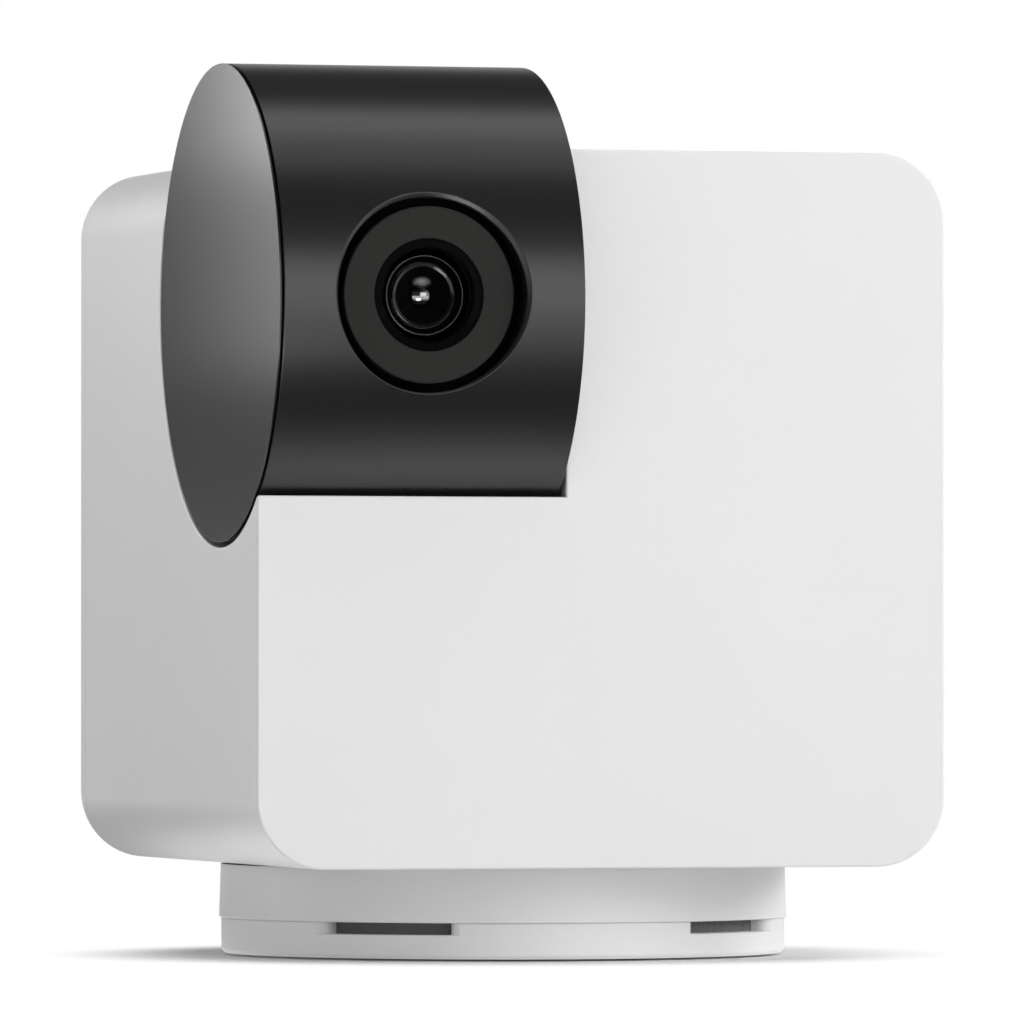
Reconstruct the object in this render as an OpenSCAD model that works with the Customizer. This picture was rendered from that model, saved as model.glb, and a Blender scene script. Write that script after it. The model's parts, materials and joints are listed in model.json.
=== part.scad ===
// Pet camera: a white cubic body that pans on a round base, with a black drum head that tilts.
// Millimetres. The origin is on the floor, on the pan axis. The lens looks along -Y and +Z is up.

/* [Body] */
// Width of the body
body_w = 62; // [60:0.5:68]
// Depth of the body with its rear cover
body_d = 64; // [62:0.5:70]
// Height of the body without the base
body_h = 62.2; // [60:0.1:68]
// Radius of the body's long edges
body_corner_r = 6.1; // [4:0.1:8]
// Wall thickness of the body and its floor
body_wall = 2; // [1.6:0.1:2.4]
// Thickness of the rear cover
cover_t = 2; // [1.6:0.1:2.6]
// Reach of the rear cover's lip into the body
lip_l = 3; // [2:0.1:4]
// Thickness of that lip
lip_t = 1.2; // [1:0.1:1.6]
// Wall round the drum's cavity
cavity_wall = 1.6; // [1.2:0.1:2.4]
// Wall at the inner end of the drum's cavity
cavity_end_t = 2; // [1.6:0.1:2.6]

/* [Base] */
// Largest radius of the base, at its parting line
base_r = 25.3; // [24.5:0.1:28]
// Height of the base above the floor
base_h = 8.1; // [8:0.1:10]
// Height of the parting line between the base's two halves
base_split = 3.35; // [3:0.05:4]
// Inward lean of the upper half
base_draft = 0.15; // [0:0.05:0.6]
// Step between the upper half and the narrower lower half
base_step = 0.2; // [0:0.05:0.5]
// Wall of both halves
base_wall = 1.8; // [1.4:0.1:2.2]
// Thickness of the base's floor
base_floor_t = 1.6; // [1.5:0.1:1.7]
// Thickness of the base's roof
base_roof_t = 1.6; // [1.4:0.1:1.8]
// Rounding of the lower edge
base_edge = 0.3; // [0.2:0.1:0.8]
// Height of each sound slot
slot_h = 1.05; // [0.6:0.05:1.2]
// Angle of the slots' middles from the front and from the back
slot_angle = 40.6; // [36:0.2:44]
// Length of each slot in degrees
slot_span = 28; // [16:0.2:30]
// Rounding of the slots' ends where they meet the base's skin
slot_round = 1.2; // [0.6:0.1:1.3]
// Height of the rubber foot below the plate
foot_lift = 0.2; // [0.1:0.05:0.4]
// Depth of the foot's seat
foot_seat = 0.9; // [0.5:0.1:1.1]
// Distance of the foot from the base's edge
foot_inset = 2.3; // [1.5:0.1:3]
// Width of the rubber foot
foot_w = 5.5; // [4:0.1:6]

/* [Tripod thread] */
// Bore of the thread, a quarter-inch camera screw's core
thread_r = 2.55; // [2.4:0.05:3.2]
// Length of the thread
thread_l = 4.2; // [3.6:0.1:4.4]
// Wall of the brass insert
insert_wall = 1.4; // [1:0.1:1.8]
// Wall of the boss round the insert
insert_boss_wall = 2; // [1.4:0.1:2.4]
// Roof over the insert
insert_roof_t = 0.6; // [0.4:0.1:0.8]

/* [Head drum] */
// Radius of the drum
drum_r = 20.8; // [20:0.1:22.5]
// Share of the body's width that the drum takes with its end disc
drum_share = 0.4371; // [0.42:0.0001:0.46]
// Distance of the tilt axis behind the body's front
axis_from_front = 13; // [12:0.1:15]
// Distance of the tilt axis below the body's top
axis_from_top = 13.15; // [12:0.05:15]
// Gap between the drum and its cavity
drum_gap = 0.45; // [0.35:0.05:0.8]
// Gap between the drum's inner end and the cavity's wall
drum_end_gap = 0.5; // [0.4:0.05:0.8]
// Wall of the drum
drum_wall = 1.8; // [1.4:0.1:2.2]
// End wall of the drum
drum_end_t = 2; // [1.6:0.1:2.4]
// Thickness of the end disc at its rim
disc_rim_t = 0.12; // [0.1:0.02:0.4]
// Thickening of the end disc inside the drum
disc_back_t = 0.6; // [0.4:0.1:0.8]
// Width of the shadow seam beside the end disc
seam_w = 0.25; // [0.15:0.05:0.4]
// Depth of that seam
seam_depth = 0.4; // [0.2:0.1:0.6]
// Reach of the end disc's spigot into the drum
spigot_l = 1.2; // [0.8:0.1:1.4]
// Thickness of the spigot
spigot_t = 1.6; // [1:0.1:2]
// Radius of the hollow trunnion that the drum turns on
trunnion_r = 4.5; // [4.2:0.1:5.2]
// Cable bore of the trunnion
trunnion_bore_r = 2.5; // [2:0.1:2.8]

/* [Lens] */
// Radius of the lens pocket
pocket_r = 8.4; // [8.2:0.1:9.4]
// Depth of the lens face behind the drum's front
lens_recess = 1.4; // [1.2:0.1:2.2]
// Rise of the lens above the tilt axis
lens_rise = 0.25; // [0:0.05:0.5]
// Radius of the grey bezel
bezel_r = 7.6; // [7.2:0.05:7.8]
// Thickness of the bezel
bezel_t = 2.4; // [2:0.1:3]
// Radius of the clear middle
glass_r = 4.8; // [4.6:0.05:5.2]
// Thickness of the cover glass
glass_t = 0.8; // [0.5:0.1:1]
// Depth of the cover glass below the bezel's face
glass_sink = 0.2; // [0.1:0.05:0.4]
// Width of the ledge that the cover glass lies on
glass_ledge = 0.6; // [0.4:0.1:0.8]
// Height of the dark trim ring round the bezel
trim_h = 1.2; // [0.8:0.1:1.6]
// Wall of the turret round the pocket
turret_wall = 1.4; // [1:0.1:1.8]
// Thickness of the ledge that the bezel lies on
ledge_t = 1.2; // [1:0.1:1.6]
// Radius of the opening in that ledge
ledge_bore_r = 7; // [6.8:0.05:7.1]
// Radius of the lens barrel
barrel_r = 3.55; // [3.4:0.05:3.7]
// Width of the barrel's rim
rim_w = 0.35; // [0.25:0.05:0.45]
// Depth of the groove inside that rim
rim_groove = 0.6; // [0.4:0.05:0.8]
// Radius of the cone that leads down to the front lens
baffle_r = 2.8; // [2.4:0.05:2.9]
// Depth of the cone's edge below the barrel's rim
baffle_sink = 0.3; // [0.2:0.05:0.4]
// Depth of the barrel's rim below the bezel's face
barrel_sink = 1.5; // [1.4:0.1:2.2]
// Radius of the front lens
front_lens_r = 1.1; // [0.9:0.1:1.3]
// Radius of the front lens's curve
front_lens_curve = 1.5; // [1.4:0.1:3]
// Depth of the front lens's seat in the barrel
front_lens_seat = 1.1; // [1:0.1:1.4]
// Thickness of the front lens at its edge
front_lens_edge = 0.1; // [0.1:0.05:0.2]

/* [Camera module] */
// Distance of the sensor board's front from the tilt axis
sensor_board_d = 4; // [3.6:0.1:5]
// Gap between the sensor board's edge and the drum's end wall
sensor_board_gap = 0.55; // [0.4:0.05:0.8]
// Height of the sensor board
sensor_board_h = 21; // [20.6:0.1:22]
// Distance of its screws from its side edges
sensor_screw_inset = 2; // [1.9:0.05:2.2]
// Spacing of its screws in height
sensor_screw_h = 17; // [16.6:0.1:17.4]
// Length of its screws in their posts
sensor_screw_l = 6; // [4:0.5:8]
// Side of the image sensor
sensor_w = 4.8; // [4:0.1:4.8]
// Thickness of the image sensor
sensor_t = 0.8; // [0.6:0.1:1.2]
// Side of the lens holder's foot
holder_w = 12; // [11:0.1:13]
// Thickness of the holder's foot
holder_foot_t = 1.6; // [1.4:0.1:2]
// Height of the lens holder
holder_h = 8; // [6:0.1:9]
// Wall of the lens holder
holder_wall = 1.4; // [1:0.1:1.8]
// Gap between the lamp board behind the bezel and the sensor board's posts
lamp_board_gap = 0.78; // [0.5:0.02:1.1]
// Bore of the lamp board, clear of the barrel
lamp_board_bore_r = 4; // [3.8:0.1:4.2]
// Number of infrared lamps
lamp_count = 6; // [4:1:8]
// Radius of one lamp
lamp_r = 1; // [0.7:0.05:1.1]
// Radius of the circle of lamps
lamp_circle_r = 5.6; // [5.4:0.1:5.8]
// Height of one lamp
lamp_h = 1.1; // [0.8:0.1:1.1]

/* [Drives] */
// Tooth module of all gears
gear_module = 0.6; // [0.56:0.01:0.62]
// Teeth of the fixed pan gear
pan_teeth = 50; // [46:1:52]
// Teeth of the tilt gear
tilt_teeth = 30; // [28:1:32]
// Teeth of both pinions
pinion_teeth = 12; // [12:1:14]
// Backlash between gear teeth
backlash = 0.12; // [0.08:0.01:0.2]
// Width of the gears
gear_t = 3; // [2.4:0.1:4]
// Gap between the pan motor and the main board
pan_motor_gap = 1.35; // [1:0.05:1.8]
// Direction of the tilt pinion from the tilt axis, degrees above the rear
tilt_dir = -45; // [-50:1:-40]
// Pan travel each way, degrees
pan_limit = 172.5; // [120:0.5:172.5]
// Radius of the hub that the body turns on
hub_r = 7; // [6.6:0.1:7.6]
// Cable bore of the hub
hub_bore_r = 4.2; // [3.6:0.1:4.6]
// Wall of the bushes
bush_wall = 1.5; // [1.2:0.1:1.8]
// Width of the bushes' flanges beyond their wall
flange_w = 1.5; // [1:0.1:2]
// Thickness of the bushes' flanges
flange_t = 0.8; // [0.6:0.1:1]
// Gap between a flange and its gear
gear_gap = 0.3; // [0.2:0.05:0.4]
// Thickness of the retaining clips
clip_t = 0.6; // [0.5:0.1:0.8]
// Width of the retaining clips
clip_w = 1.6; // [1.2:0.1:2]
// Depth of the clips' grooves
clip_groove = 0.45; // [0.3:0.05:0.6]
// Opening of the clips in degrees
clip_open = 50; // [30:5:80]
// Depth of the drive flat on hub and trunnion
drive_flat = 0.7; // [0.5:0.1:1]
// Shaft left beyond each clip
shaft_end = 0.55; // [0.4:0.05:0.8]
// Radius of the motor cans
motor_r = 10; // [9.5:0.1:10.5]
// Length of the motor cans
motor_l = 14; // [12:0.5:15]
// Radius of the motor shafts
motor_shaft_r = 1; // [0.8:0.05:1.2]
// Reach of the shafts into the motors
motor_shaft_l = 4; // [3:0.5:6]
// Radius of the round nose that centres each motor
motor_nose_r = 3; // [2.4:0.1:3.6]
// Gap between a shaft's end and the motor bracket
bracket_gap = 0.4; // [0.3:0.05:0.6]
// Thickness of the motor brackets
bracket_t = 1; // [0.8:0.1:1.4]
// Distance of the brackets' ears from the motor's middle
ear_distance = 13.4; // [13.2:0.1:14]
// Radius of the posts below the ears
post_r = 2.2; // [2:0.1:2.4]
// Radius of the thrust washer's inner edge
washer_r = 16; // [15:0.1:17]
// Width of the thrust washer
washer_w = 4; // [3:0.1:5]
// Thickness of the thrust washer
washer_t = 0.8; // [0.6:0.1:1]
// Height of the thrust washer above the base's roof
washer_lift = 0.1; // [0.05:0.01:0.1]
// Radius at which the pan stop's peg runs
stop_r = 12; // [11:0.1:13]
// Radius of that peg
stop_peg_r = 0.9; // [0.6:0.1:1]
// Depth of the stop's groove
stop_depth = 0.8; // [0.5:0.1:1]
// Thickness of the slip washer on the trunnion
slip_t = 0.4; // [0.25:0.05:0.4]
// Width of that washer
slip_w = 3.4; // [2:0.1:5]

/* [Boards] */
// Thickness of the circuit boards
board_t = 1; // [0.8:0.1:1.4]
// Gap between the main board and the body's side walls
board_side_gap = 3; // [2.5:0.1:4]
// Height of the main board's lower edge above the body's floor
main_board_lift = 9.5; // [9:0.1:11]
// Main board above the tilt axis
main_board_top = 4.7; // [4:0.1:6]
// Length of the rear cover's board posts
board_post_l = 4.5; // [4:0.1:5]
// Radius of the board posts
board_post_r = 2.5; // [2:0.1:3]
// Distance of the main board's screws from its side edges
board_screw_inset = 4; // [3.4:0.1:5]
// Distance of its screws from its lower edge
board_screw_low = 4; // [3.2:0.1:5]
// Distance of its upper screws from its upper edge
board_screw_high = 12; // [10:0.5:14]
// Side of the processor's shield
shield_w = 16; // [12:0.5:18]
// Height of the processor's shield
shield_t = 2; // [1.4:0.1:2.4]
// Gap between the shield and the main board's screws
shield_gap = 0.2; // [0.2:0.05:1]
// Distance of the shield's middle below the board's upper edge
shield_drop = 15; // [12:0.5:18]
// Side of the wire connectors
connector_w = 4; // [3:0.1:5]
// Height of the wire connectors
connector_t = 2; // [1.6:0.1:2.4]
// Gap between the base board and the base's screw posts
base_board_gap = 0.25; // [0.2:0.05:1]
// Length of the base board
base_board_l = 12.5; // [11:0.1:13]
// Length of the antenna
antenna_l = 18; // [12:0.5:20]
// Height of the antenna
antenna_h = 8; // [5:0.5:10]
// Thickness of the antenna
antenna_t = 0.3; // [0.2:0.05:0.5]
// Height of the antenna's middle above the body's floor
antenna_lift = 38; // [30:1:46]
// Side of the microphone
microphone_w = 3.4; // [3:0.1:4]
// Thickness of the microphone
microphone_t = 1; // [0.8:0.1:1.2]
// Radius of the microphone's rubber boot
boot_r = 2.4; // [2:0.1:3]
// Radius of the microphone's sound hole
sound_hole_r = 0.6; // [0.4:0.05:0.8]
// Place of the microphone to the right of the middle
microphone_x = 10; // [6:0.5:14]
// Distance of the microphone below the main board's upper edge
microphone_drop = 5; // [4:0.5:7]
// Radius of the wires
wire_r = 0.5; // [0.4:0.05:0.7]
// Bend radius of the wires
wire_bend = 2; // [1.6:0.1:2.6]
// Height of the wires' run above the pan motor
loom_lift = 5; // [3:0.5:8]
// Distance of the head's wires beyond the tilt motor
link_clear = 3; // [2:0.1:3.5]

/* [Power inlet and speaker] */
// Width of the inlet's metal shell
usb_w = 8.94; // [8.9:0.01:9.2]
// Height of the inlet's metal shell
usb_h = 3.26; // [3.2:0.01:3.4]
// Length of the inlet
usb_l = 7.35; // [6.5:0.05:8]
// Sheet thickness of the shell
usb_wall = 0.35; // [0.25:0.05:0.4]
// Width of the tongue
tongue_w = 6.7; // [6.4:0.1:6.9]
// Thickness of the tongue
tongue_t = 0.7; // [0.6:0.05:0.8]
// Distance of the inlet's mouth inside the base's edge
usb_inset = 0.9; // [0.6:0.1:1.4]
// Gap between the inlet and its port
port_gap = 0.2; // [0.15:0.05:0.3]
// Gap between the loudspeaker and the base's wall
speaker_wall_gap = 1.3; // [1:0.05:2]
// Gap between the loudspeaker and the tripod thread's boss
speaker_boss_gap = 1.05; // [0.6:0.05:1.6]
// Height of the loudspeaker
speaker_h = 3.5; // [3:0.1:3.8]
// Width of its foam gasket
gasket_w = 1.8; // [1.2:0.1:2.4]

/* [Setup button] */
// Radius of the button
button_r = 2.5; // [2:0.1:3]
// Gap round the button
button_gap = 0.15; // [0.1:0.01:0.25]
// Height of the button above the rear cover
button_proud = 0.3; // [0.1:0.05:0.6]
// Width of the button's inner flange
button_flange = 1; // [0.6:0.1:1.4]
// Thickness of that flange
button_flange_t = 0.8; // [0.6:0.1:1]
// Travel of the button
button_travel = 0.6; // [0.3:0.05:0.7]
// Radius of the button's stem
button_stem_r = 1.4; // [1:0.1:1.8]
// Side of the switch below the button
switch_w = 4.5; // [4:0.1:6]
// Height of the switch
switch_t = 1.5; // [1.2:0.1:1.8]
// Height of the switch's plunger
plunger_h = 0.4; // [0.3:0.1:0.6]
// Radius of the switch's plunger
plunger_r = 1; // [0.7:0.1:1.3]

/* [Screws and fits] */
// Radius of the screw heads
screw_head_r = 1.8; // [1.6:0.05:2]
// Height of the screw heads
screw_head_h = 1.1; // [0.9:0.1:1.2]
// Radius of the screw threads
screw_r = 0.9; // [0.8:0.05:1]
// Depth of the cross in the screw heads
cross_depth = 0.6; // [0.3:0.1:0.7]
// Width of a bar of that cross
cross_w = 0.5; // [0.4:0.05:0.6]
// Length of a bar of that cross
cross_l = 2.2; // [1.6:0.1:2.4]
// Gap between the base's screw heads and the rubber foot
base_screw_gap = 0.85; // [0.6:0.05:1.2]
// Radius of the base's screw posts
base_post_r = 2.5; // [2.4:0.1:2.6]
// Distance of the rear cover's screws from the middle
cover_screw_x = 18; // [16:0.5:19]
// Distance of the rear cover's screws before the seam
cover_screw_y = 3.5; // [3:0.1:4]
// Height of the rear cover's screw bosses
cover_boss_h = 6.5; // [5:0.1:7]
// Radius of the rear cover's screw bosses
cover_boss_r = 2.6; // [2.4:0.1:3]
// Gap under the body while it turns
pan_gap = 0.15; // [0.12:0.01:0.4]
// Radial gap of turning fits
run_fit = 0.05; // [0.03:0.01:0.08]
// Radial gap of seated pieces
seat_fit = 0.03; // [0.02:0.01:0.06]
// Gap of loose covers and lips
cover_fit = 0.15; // [0.1:0.01:0.25]

/* [Hidden] */
$fn = 96;
// Tooth form of the gears, with heights in modules
pressure_angle = 25;
gear_addendum = 0.8;
pinion_addendum = 1;
tooth_dedendum = 1.25;
flank_steps = 4;
// Cuts run past a face by this much
over = 1;
// Posts are rooted this deep in their wall
post_root = 0.5;
// Play of the pan stop beyond the pan travel, degrees
stop_clear = 0.5;

// Screw holes
clear_r = screw_r + cover_fit;
pilot_r = screw_r + seat_fit;
counterbore_r = screw_head_r + cover_fit;

// Body planes
body_z = base_h + pan_gap;
body_top = body_z + body_h;
body_mid_z = (body_z + body_top) / 2;
floor_z = body_z + body_wall;
front_y = -body_d / 2;
back_y = body_d / 2;
seam_y = back_y - cover_t;
left_x = -body_w / 2;
inner_x = body_w / 2 - body_wall;

// Tilt axis, drum and cavity
axis_y = front_y + axis_from_front;
axis_z = body_top - axis_from_top;
drum_l = drum_share * body_w;
drum_x = left_x + drum_l;
shell_x = left_x + disc_rim_t + seam_w;
drum_inner_r = drum_r - drum_wall;
cavity_r = drum_r + drum_gap;
cavity_x = drum_x + drum_end_gap;
wall_x = cavity_x + cavity_end_t;

// Lens stack, as distances in front of the tilt axis
lens_x = (left_x + drum_x) / 2;
face_d = drum_r - lens_recess;
ledge_d = face_d - bezel_t;
ledge_back_d = ledge_d - ledge_t;
glass_d = face_d - glass_sink - glass_t;
barrel_d = face_d - barrel_sink;
front_lens_d = barrel_d - front_lens_seat;
sensor_back_d = sensor_board_d - board_t;
sensor_board_w = drum_l - 2 * (drum_end_t + sensor_board_gap);
sensor_screw_w = sensor_board_w - 2 * sensor_screw_inset;
lamp_board_r = norm([sensor_screw_w, sensor_screw_h]) / 2 - post_r - lamp_board_gap;
turret_r = pocket_r + turret_wall;

// Base planes
plate_z = foot_lift;
plate_top = plate_z + base_floor_t;
roof_z = base_h - base_roof_t;
base_low_r = base_r - base_step;
base_inner_r = base_low_r - base_wall;
foot_r = base_low_r - foot_inset;
insert_r = thread_r + insert_wall;
insert_boss_r = insert_r + insert_boss_wall;
insert_top = plate_z + thread_l;
counterbore_z = plate_z + screw_head_h + seat_fit;
base_board_top = plate_top + board_t;
usb_z = base_board_top + usb_h / 2;
usb_mouth_y = base_r - usb_inset;
base_screw_xy = (foot_r - foot_w - base_screw_gap - counterbore_r) / sqrt(2);
base_board_w = 2 * (base_screw_xy - base_post_r - base_board_gap);
base_board_end = sqrt(pow(base_inner_r, 2) - pow(base_board_w / 2, 2)) - cover_fit;
base_board_y = base_board_end - base_board_l;
speaker_r = (base_inner_r - speaker_wall_gap - speaker_boss_gap - insert_boss_r) / 2;
speaker_y = base_inner_r - speaker_wall_gap - speaker_r;
speaker_top = plate_top + speaker_h;
cable_z = insert_top + insert_roof_t + wire_r + port_gap;

// Boards' planes
board_back_y = seam_y - board_post_l;
board_front_y = board_back_y - board_t;

// Pan drive, as heights
pan_bush_r = hub_r + run_fit + bush_wall;
pan_gear_z = floor_z + flange_t + gear_gap;
pan_clip_z = pan_gear_z + gear_t + cover_fit;
hub_top = pan_clip_z + clip_t + shaft_end;
pan_bracket_z = hub_top + bracket_gap;
pan_motor_z = pan_bracket_z + bracket_t;
pan_distance = gear_module * (pan_teeth + pinion_teeth) / 2;
pan_dir = asin((board_front_y - pan_motor_gap - motor_r) / pan_distance);
stop_rib_half = 180 - pan_limit - asin(stop_peg_r / stop_r) - stop_clear;

// Tilt drive, as places along X
tilt_bush_r = trunnion_r + run_fit + bush_wall;
tilt_gear_x = wall_x + flange_t + gear_gap;
tilt_clip_x = tilt_gear_x + gear_t + cover_fit;
trunnion_x = tilt_clip_x + clip_t + shaft_end;
tilt_bracket_x = trunnion_x + bracket_gap;
tilt_motor_x = tilt_bracket_x + bracket_t;
tilt_distance = gear_module * (tilt_teeth + pinion_teeth) / 2;
link_x = tilt_motor_x + motor_l + link_clear;
pinion_shaft_l = cover_fit + clip_t + shaft_end + bracket_gap + bracket_t + motor_shaft_l;
pinion_phase = pinion_teeth % 2 == 0 ? 180 / pinion_teeth : 0;

// Boards
main_board_w = 2 * (inner_x - board_side_gap);
board_screw_x = main_board_w / 2 - board_screw_inset;
shield_x = board_screw_x - screw_head_r - shield_gap - shield_w / 2;
board_z = floor_z + main_board_lift;
board_top = axis_z + main_board_top;
shield_z = board_top - shield_drop;
board_screw_zs = [board_z + board_screw_low, board_top - board_screw_high];
loom_z = pan_motor_z + motor_l + loom_lift;
connector_y = board_front_y - connector_t;
microphone_z = board_top - microphone_drop;
button_z = board_screw_zs[0];
plunger_y = board_back_y + switch_t + plunger_h;
stem_y = plunger_y + button_travel + button_gap;
flange_back_y = seam_y - button_gap;
cover_boss_y = seam_y - cover_screw_y;

// Frames: local z runs along X at the tilt axis, or to the front at the lens
module at_tilt_axis() {
    translate([0, axis_y, axis_z])
        rotate([90, 0, 90])
            children();
}

module at_lens() {
    translate([lens_x, axis_y, axis_z + lens_rise])
        rotate([90, 0, 0])
            children();
}

// Local z runs to the back, starting at the given point
module to_back(x, y, z) {
    translate([x, y, z])
        rotate([-90, 0, 0])
            children();
}

// Local x points away from the pan axis, with the pan pinion in the middle
module at_pan_pinion(z) {
    rotate([0, 0, pan_dir])
        translate([pan_distance, 0, z])
            children();
}

module at_tilt_pinion(x) {
    at_tilt_axis()
        rotate([0, 0, tilt_dir])
            translate([tilt_distance, 0, x])
                children();
}

// Shapes used by several pieces
module ring(inner_r, outer_r, h) {
    rotate_extrude()
        translate([inner_r, 0])
            square([outer_r - inner_r, h]);
}

module rounded_rect(w, h, r) {
    square([w - 2 * r, h], center = true);
    square([w, h - 2 * r], center = true);
    for (x = [-1, 1], y = [-1, 1])
        translate([x * (w / 2 - r), y * (h / 2 - r)])
            circle(r = r);
}

module stadium(w, h) {
    square([w - h, h], center = true);
    for (x = [-1, 1])
        translate([x * (w - h) / 2, 0])
            circle(d = h);
}

// Slab of the body's outline, drawn in by an inset, between two depths
module body_slab(inset, from_y, to_y) {
    translate([0, to_y, body_mid_z])
        rotate([90, 0, 0])
            linear_extrude(to_y - from_y)
                rounded_rect(body_w - 2 * inset, body_h - 2 * inset, body_corner_r - inset);
}

// Screw with its head's underside at z = 0 and its thread below
module screw(length) {
    difference() {
        cylinder(r = screw_head_r, h = screw_head_h);
        for (turn = [0, 90])
            rotate([0, 0, turn])
                translate([-cross_l / 2, -cross_w / 2, screw_head_h - cross_depth])
                    cube([cross_l, cross_w, cross_depth + over]);
    }
    translate([0, 0, -length])
        cylinder(r = screw_r, h = length);
}

// Shaft's round section with a drive flat
module flat_round(r, gap) {
    intersection() {
        circle(r = r + gap);
        translate([-2 * r, -2 * r])
            square([3 * r - drive_flat + gap, 4 * r]);
    }
}

module clip(shaft_r) {
    rotate([0, 0, clip_open / 2])
        rotate_extrude(angle = 360 - clip_open)
            translate([shaft_r - clip_groove + seat_fit, 0])
                square([clip_w, clip_t]);
}

// Quarter bend of a wire, from angle 0 to angle 90 round the local z
module wire_bend_quarter() {
    rotate_extrude(angle = 90)
        translate([wire_bend, 0])
            circle(r = wire_r);
}

// Involute gear teeth
function involute(angle) = tan(angle) * 180 / PI - angle;

function flank_angle(teeth, r) =
    let (pitch_r = gear_module * teeth / 2)
    let (core_r = pitch_r * cos(pressure_angle))
    let (at_pitch = 90 / teeth - backlash / 4 / pitch_r * 180 / PI)
    at_pitch + involute(pressure_angle) - involute(acos(core_r / max(r, core_r)));

function gear_outline(teeth, addendum) =
    let (pitch_r = gear_module * teeth / 2)
    let (root_r = pitch_r - tooth_dedendum * gear_module)
    let (flank_r = max(root_r, pitch_r * cos(pressure_angle)))
    let (tip_r = pitch_r + addendum * gear_module)
    let (rise = [for (i = [0 : flank_steps]) flank_r + (tip_r - flank_r) * i / flank_steps])
    let (radii = flank_r > root_r ? concat([root_r], rise) : rise)
    let (last = len(radii) - 1)
    [
        for (tooth = [0 : teeth - 1], i = [0 : 2 * last + 1])
            let (up = i <= last)
            let (r = radii[up ? i : 2 * last + 1 - i])
            let (angle = 360 * tooth / teeth + (up ? -1 : 1) * flank_angle(teeth, r))
            [r * cos(angle), r * sin(angle)]
    ];

// Motor pieces, with the shaft along the local z and the mounting face at z = 0
module motor_can() {
    difference() {
        union() {
            cylinder(r = motor_r, h = motor_l);
            translate([0, 0, -bracket_t])
                cylinder(r = motor_nose_r, h = bracket_t);
        }
        translate([0, 0, -bracket_t - over])
            cylinder(r = motor_shaft_r + run_fit, h = bracket_t + over + motor_shaft_l + cover_fit);
    }
}

module bracket_plate() {
    linear_extrude(bracket_t)
        difference() {
            union() {
                circle(r = motor_r);
                square([2 * post_r, 2 * ear_distance], center = true);
                for (side = [-1, 1])
                    translate([0, side * ear_distance])
                        circle(r = post_r);
            }
            circle(r = motor_nose_r + seat_fit);
            for (side = [-1, 1])
                translate([0, side * ear_distance])
                    circle(r = clear_r);
        }
}

module at_ears() {
    for (side = [-1, 1])
        translate([0, side * ear_distance, 0])
            children();
}

module pinion_and_shaft() {
    rotate([0, 0, pinion_phase])
        linear_extrude(gear_t)
            polygon(gear_outline(pinion_teeth, pinion_addendum));
    translate([0, 0, gear_t])
        cylinder(r = motor_shaft_r, h = pinion_shaft_l);
}

// Base
module at_base_screws(z) {
    for (x = [-1, 1], y = [-1, 1])
        translate([x * base_screw_xy, y * base_screw_xy, z])
            children();
}

module usb_port() {
    to_back(0, base_inner_r - over, usb_z)
        linear_extrude(base_r - base_inner_r + 2 * over)
            stadium(usb_w + 2 * port_gap, usb_h + 2 * port_gap);
}

module slot_end() {
    translate([base_low_r - slot_round, 0, base_split - slot_h])
        linear_extrude(slot_h + over)
            difference() {
                translate([0, -over])
                    square([slot_round + over, slot_round + over]);
                translate([0, slot_round])
                    circle(r = slot_round);
            }
}

module slot_cuts() {
    for (middle = [-90 - slot_angle, -90 + slot_angle, 90 - slot_angle, 90 + slot_angle]) {
        rotate([0, 0, middle - slot_span / 2])
            rotate_extrude(angle = slot_span)
                translate([base_inner_r - over, base_split - slot_h])
                    square([base_wall + 2 * over, slot_h + over]);
        rotate([0, 0, middle + slot_span / 2])
            slot_end();
        rotate([0, 0, middle - slot_span / 2])
            mirror([0, 1, 0])
                slot_end();
    }
}

module base_bottom_plate() {
    color("white")
        difference() {
            union() {
                rotate_extrude()
                    polygon([
                        [0, plate_z],
                        [base_low_r - base_edge, plate_z],
                        [base_low_r, plate_z + base_edge],
                        [base_low_r, base_split],
                        [base_inner_r, base_split],
                        [base_inner_r, plate_top],
                        [0, plate_top]
                    ]);
                translate([0, 0, plate_z])
                    cylinder(r = insert_boss_r, h = thread_l + insert_roof_t);
                at_base_screws(plate_top)
                    cylinder(r = base_post_r, h = base_split - plate_top);
            }
            translate([0, 0, plate_z - over])
                cylinder(r = insert_r + seat_fit, h = thread_l + over);
            translate([0, 0, plate_z - over])
                ring(foot_r - foot_w - seat_fit, foot_r + seat_fit, foot_seat + over);
            at_base_screws(plate_z - over)
                cylinder(r = counterbore_r, h = screw_head_h + seat_fit + over);
            at_base_screws(plate_z)
                cylinder(r = clear_r, h = base_split);
            slot_cuts();
            usb_port();
        }
}

module base_top_cover() {
    color("white")
        difference() {
            union() {
                rotate_extrude()
                    polygon([
                        [hub_bore_r, roof_z],
                        [base_inner_r, roof_z],
                        [base_inner_r, base_split],
                        [base_r, base_split],
                        [base_r - base_draft, base_h],
                        [hub_r, base_h],
                        [hub_r, hub_top],
                        [hub_bore_r, hub_top]
                    ]);
                at_base_screws(base_split)
                    cylinder(r = base_post_r, h = roof_z - base_split);
            }
            at_base_screws(base_split - over)
                cylinder(r = pilot_r, h = roof_z - base_split + over);
            translate([0, 0, base_h + washer_lift - washer_t])
                ring(washer_r - seat_fit, washer_r + washer_w + seat_fit, washer_t);
            translate([0, 0, pan_clip_z])
                ring(hub_r - clip_groove, hub_r + over, clip_t + seat_fit);
            translate([hub_r - drive_flat, -hub_r, pan_gear_z])
                cube([hub_r, 2 * hub_r, hub_top]);
            rotate([0, 0, stop_rib_half - 90])
                rotate_extrude(angle = 360 - 2 * stop_rib_half)
                    translate([stop_r - stop_peg_r - cover_fit, base_h - stop_depth])
                        square([2 * (stop_peg_r + cover_fit), stop_depth + over]);
            usb_port();
        }
}

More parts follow.
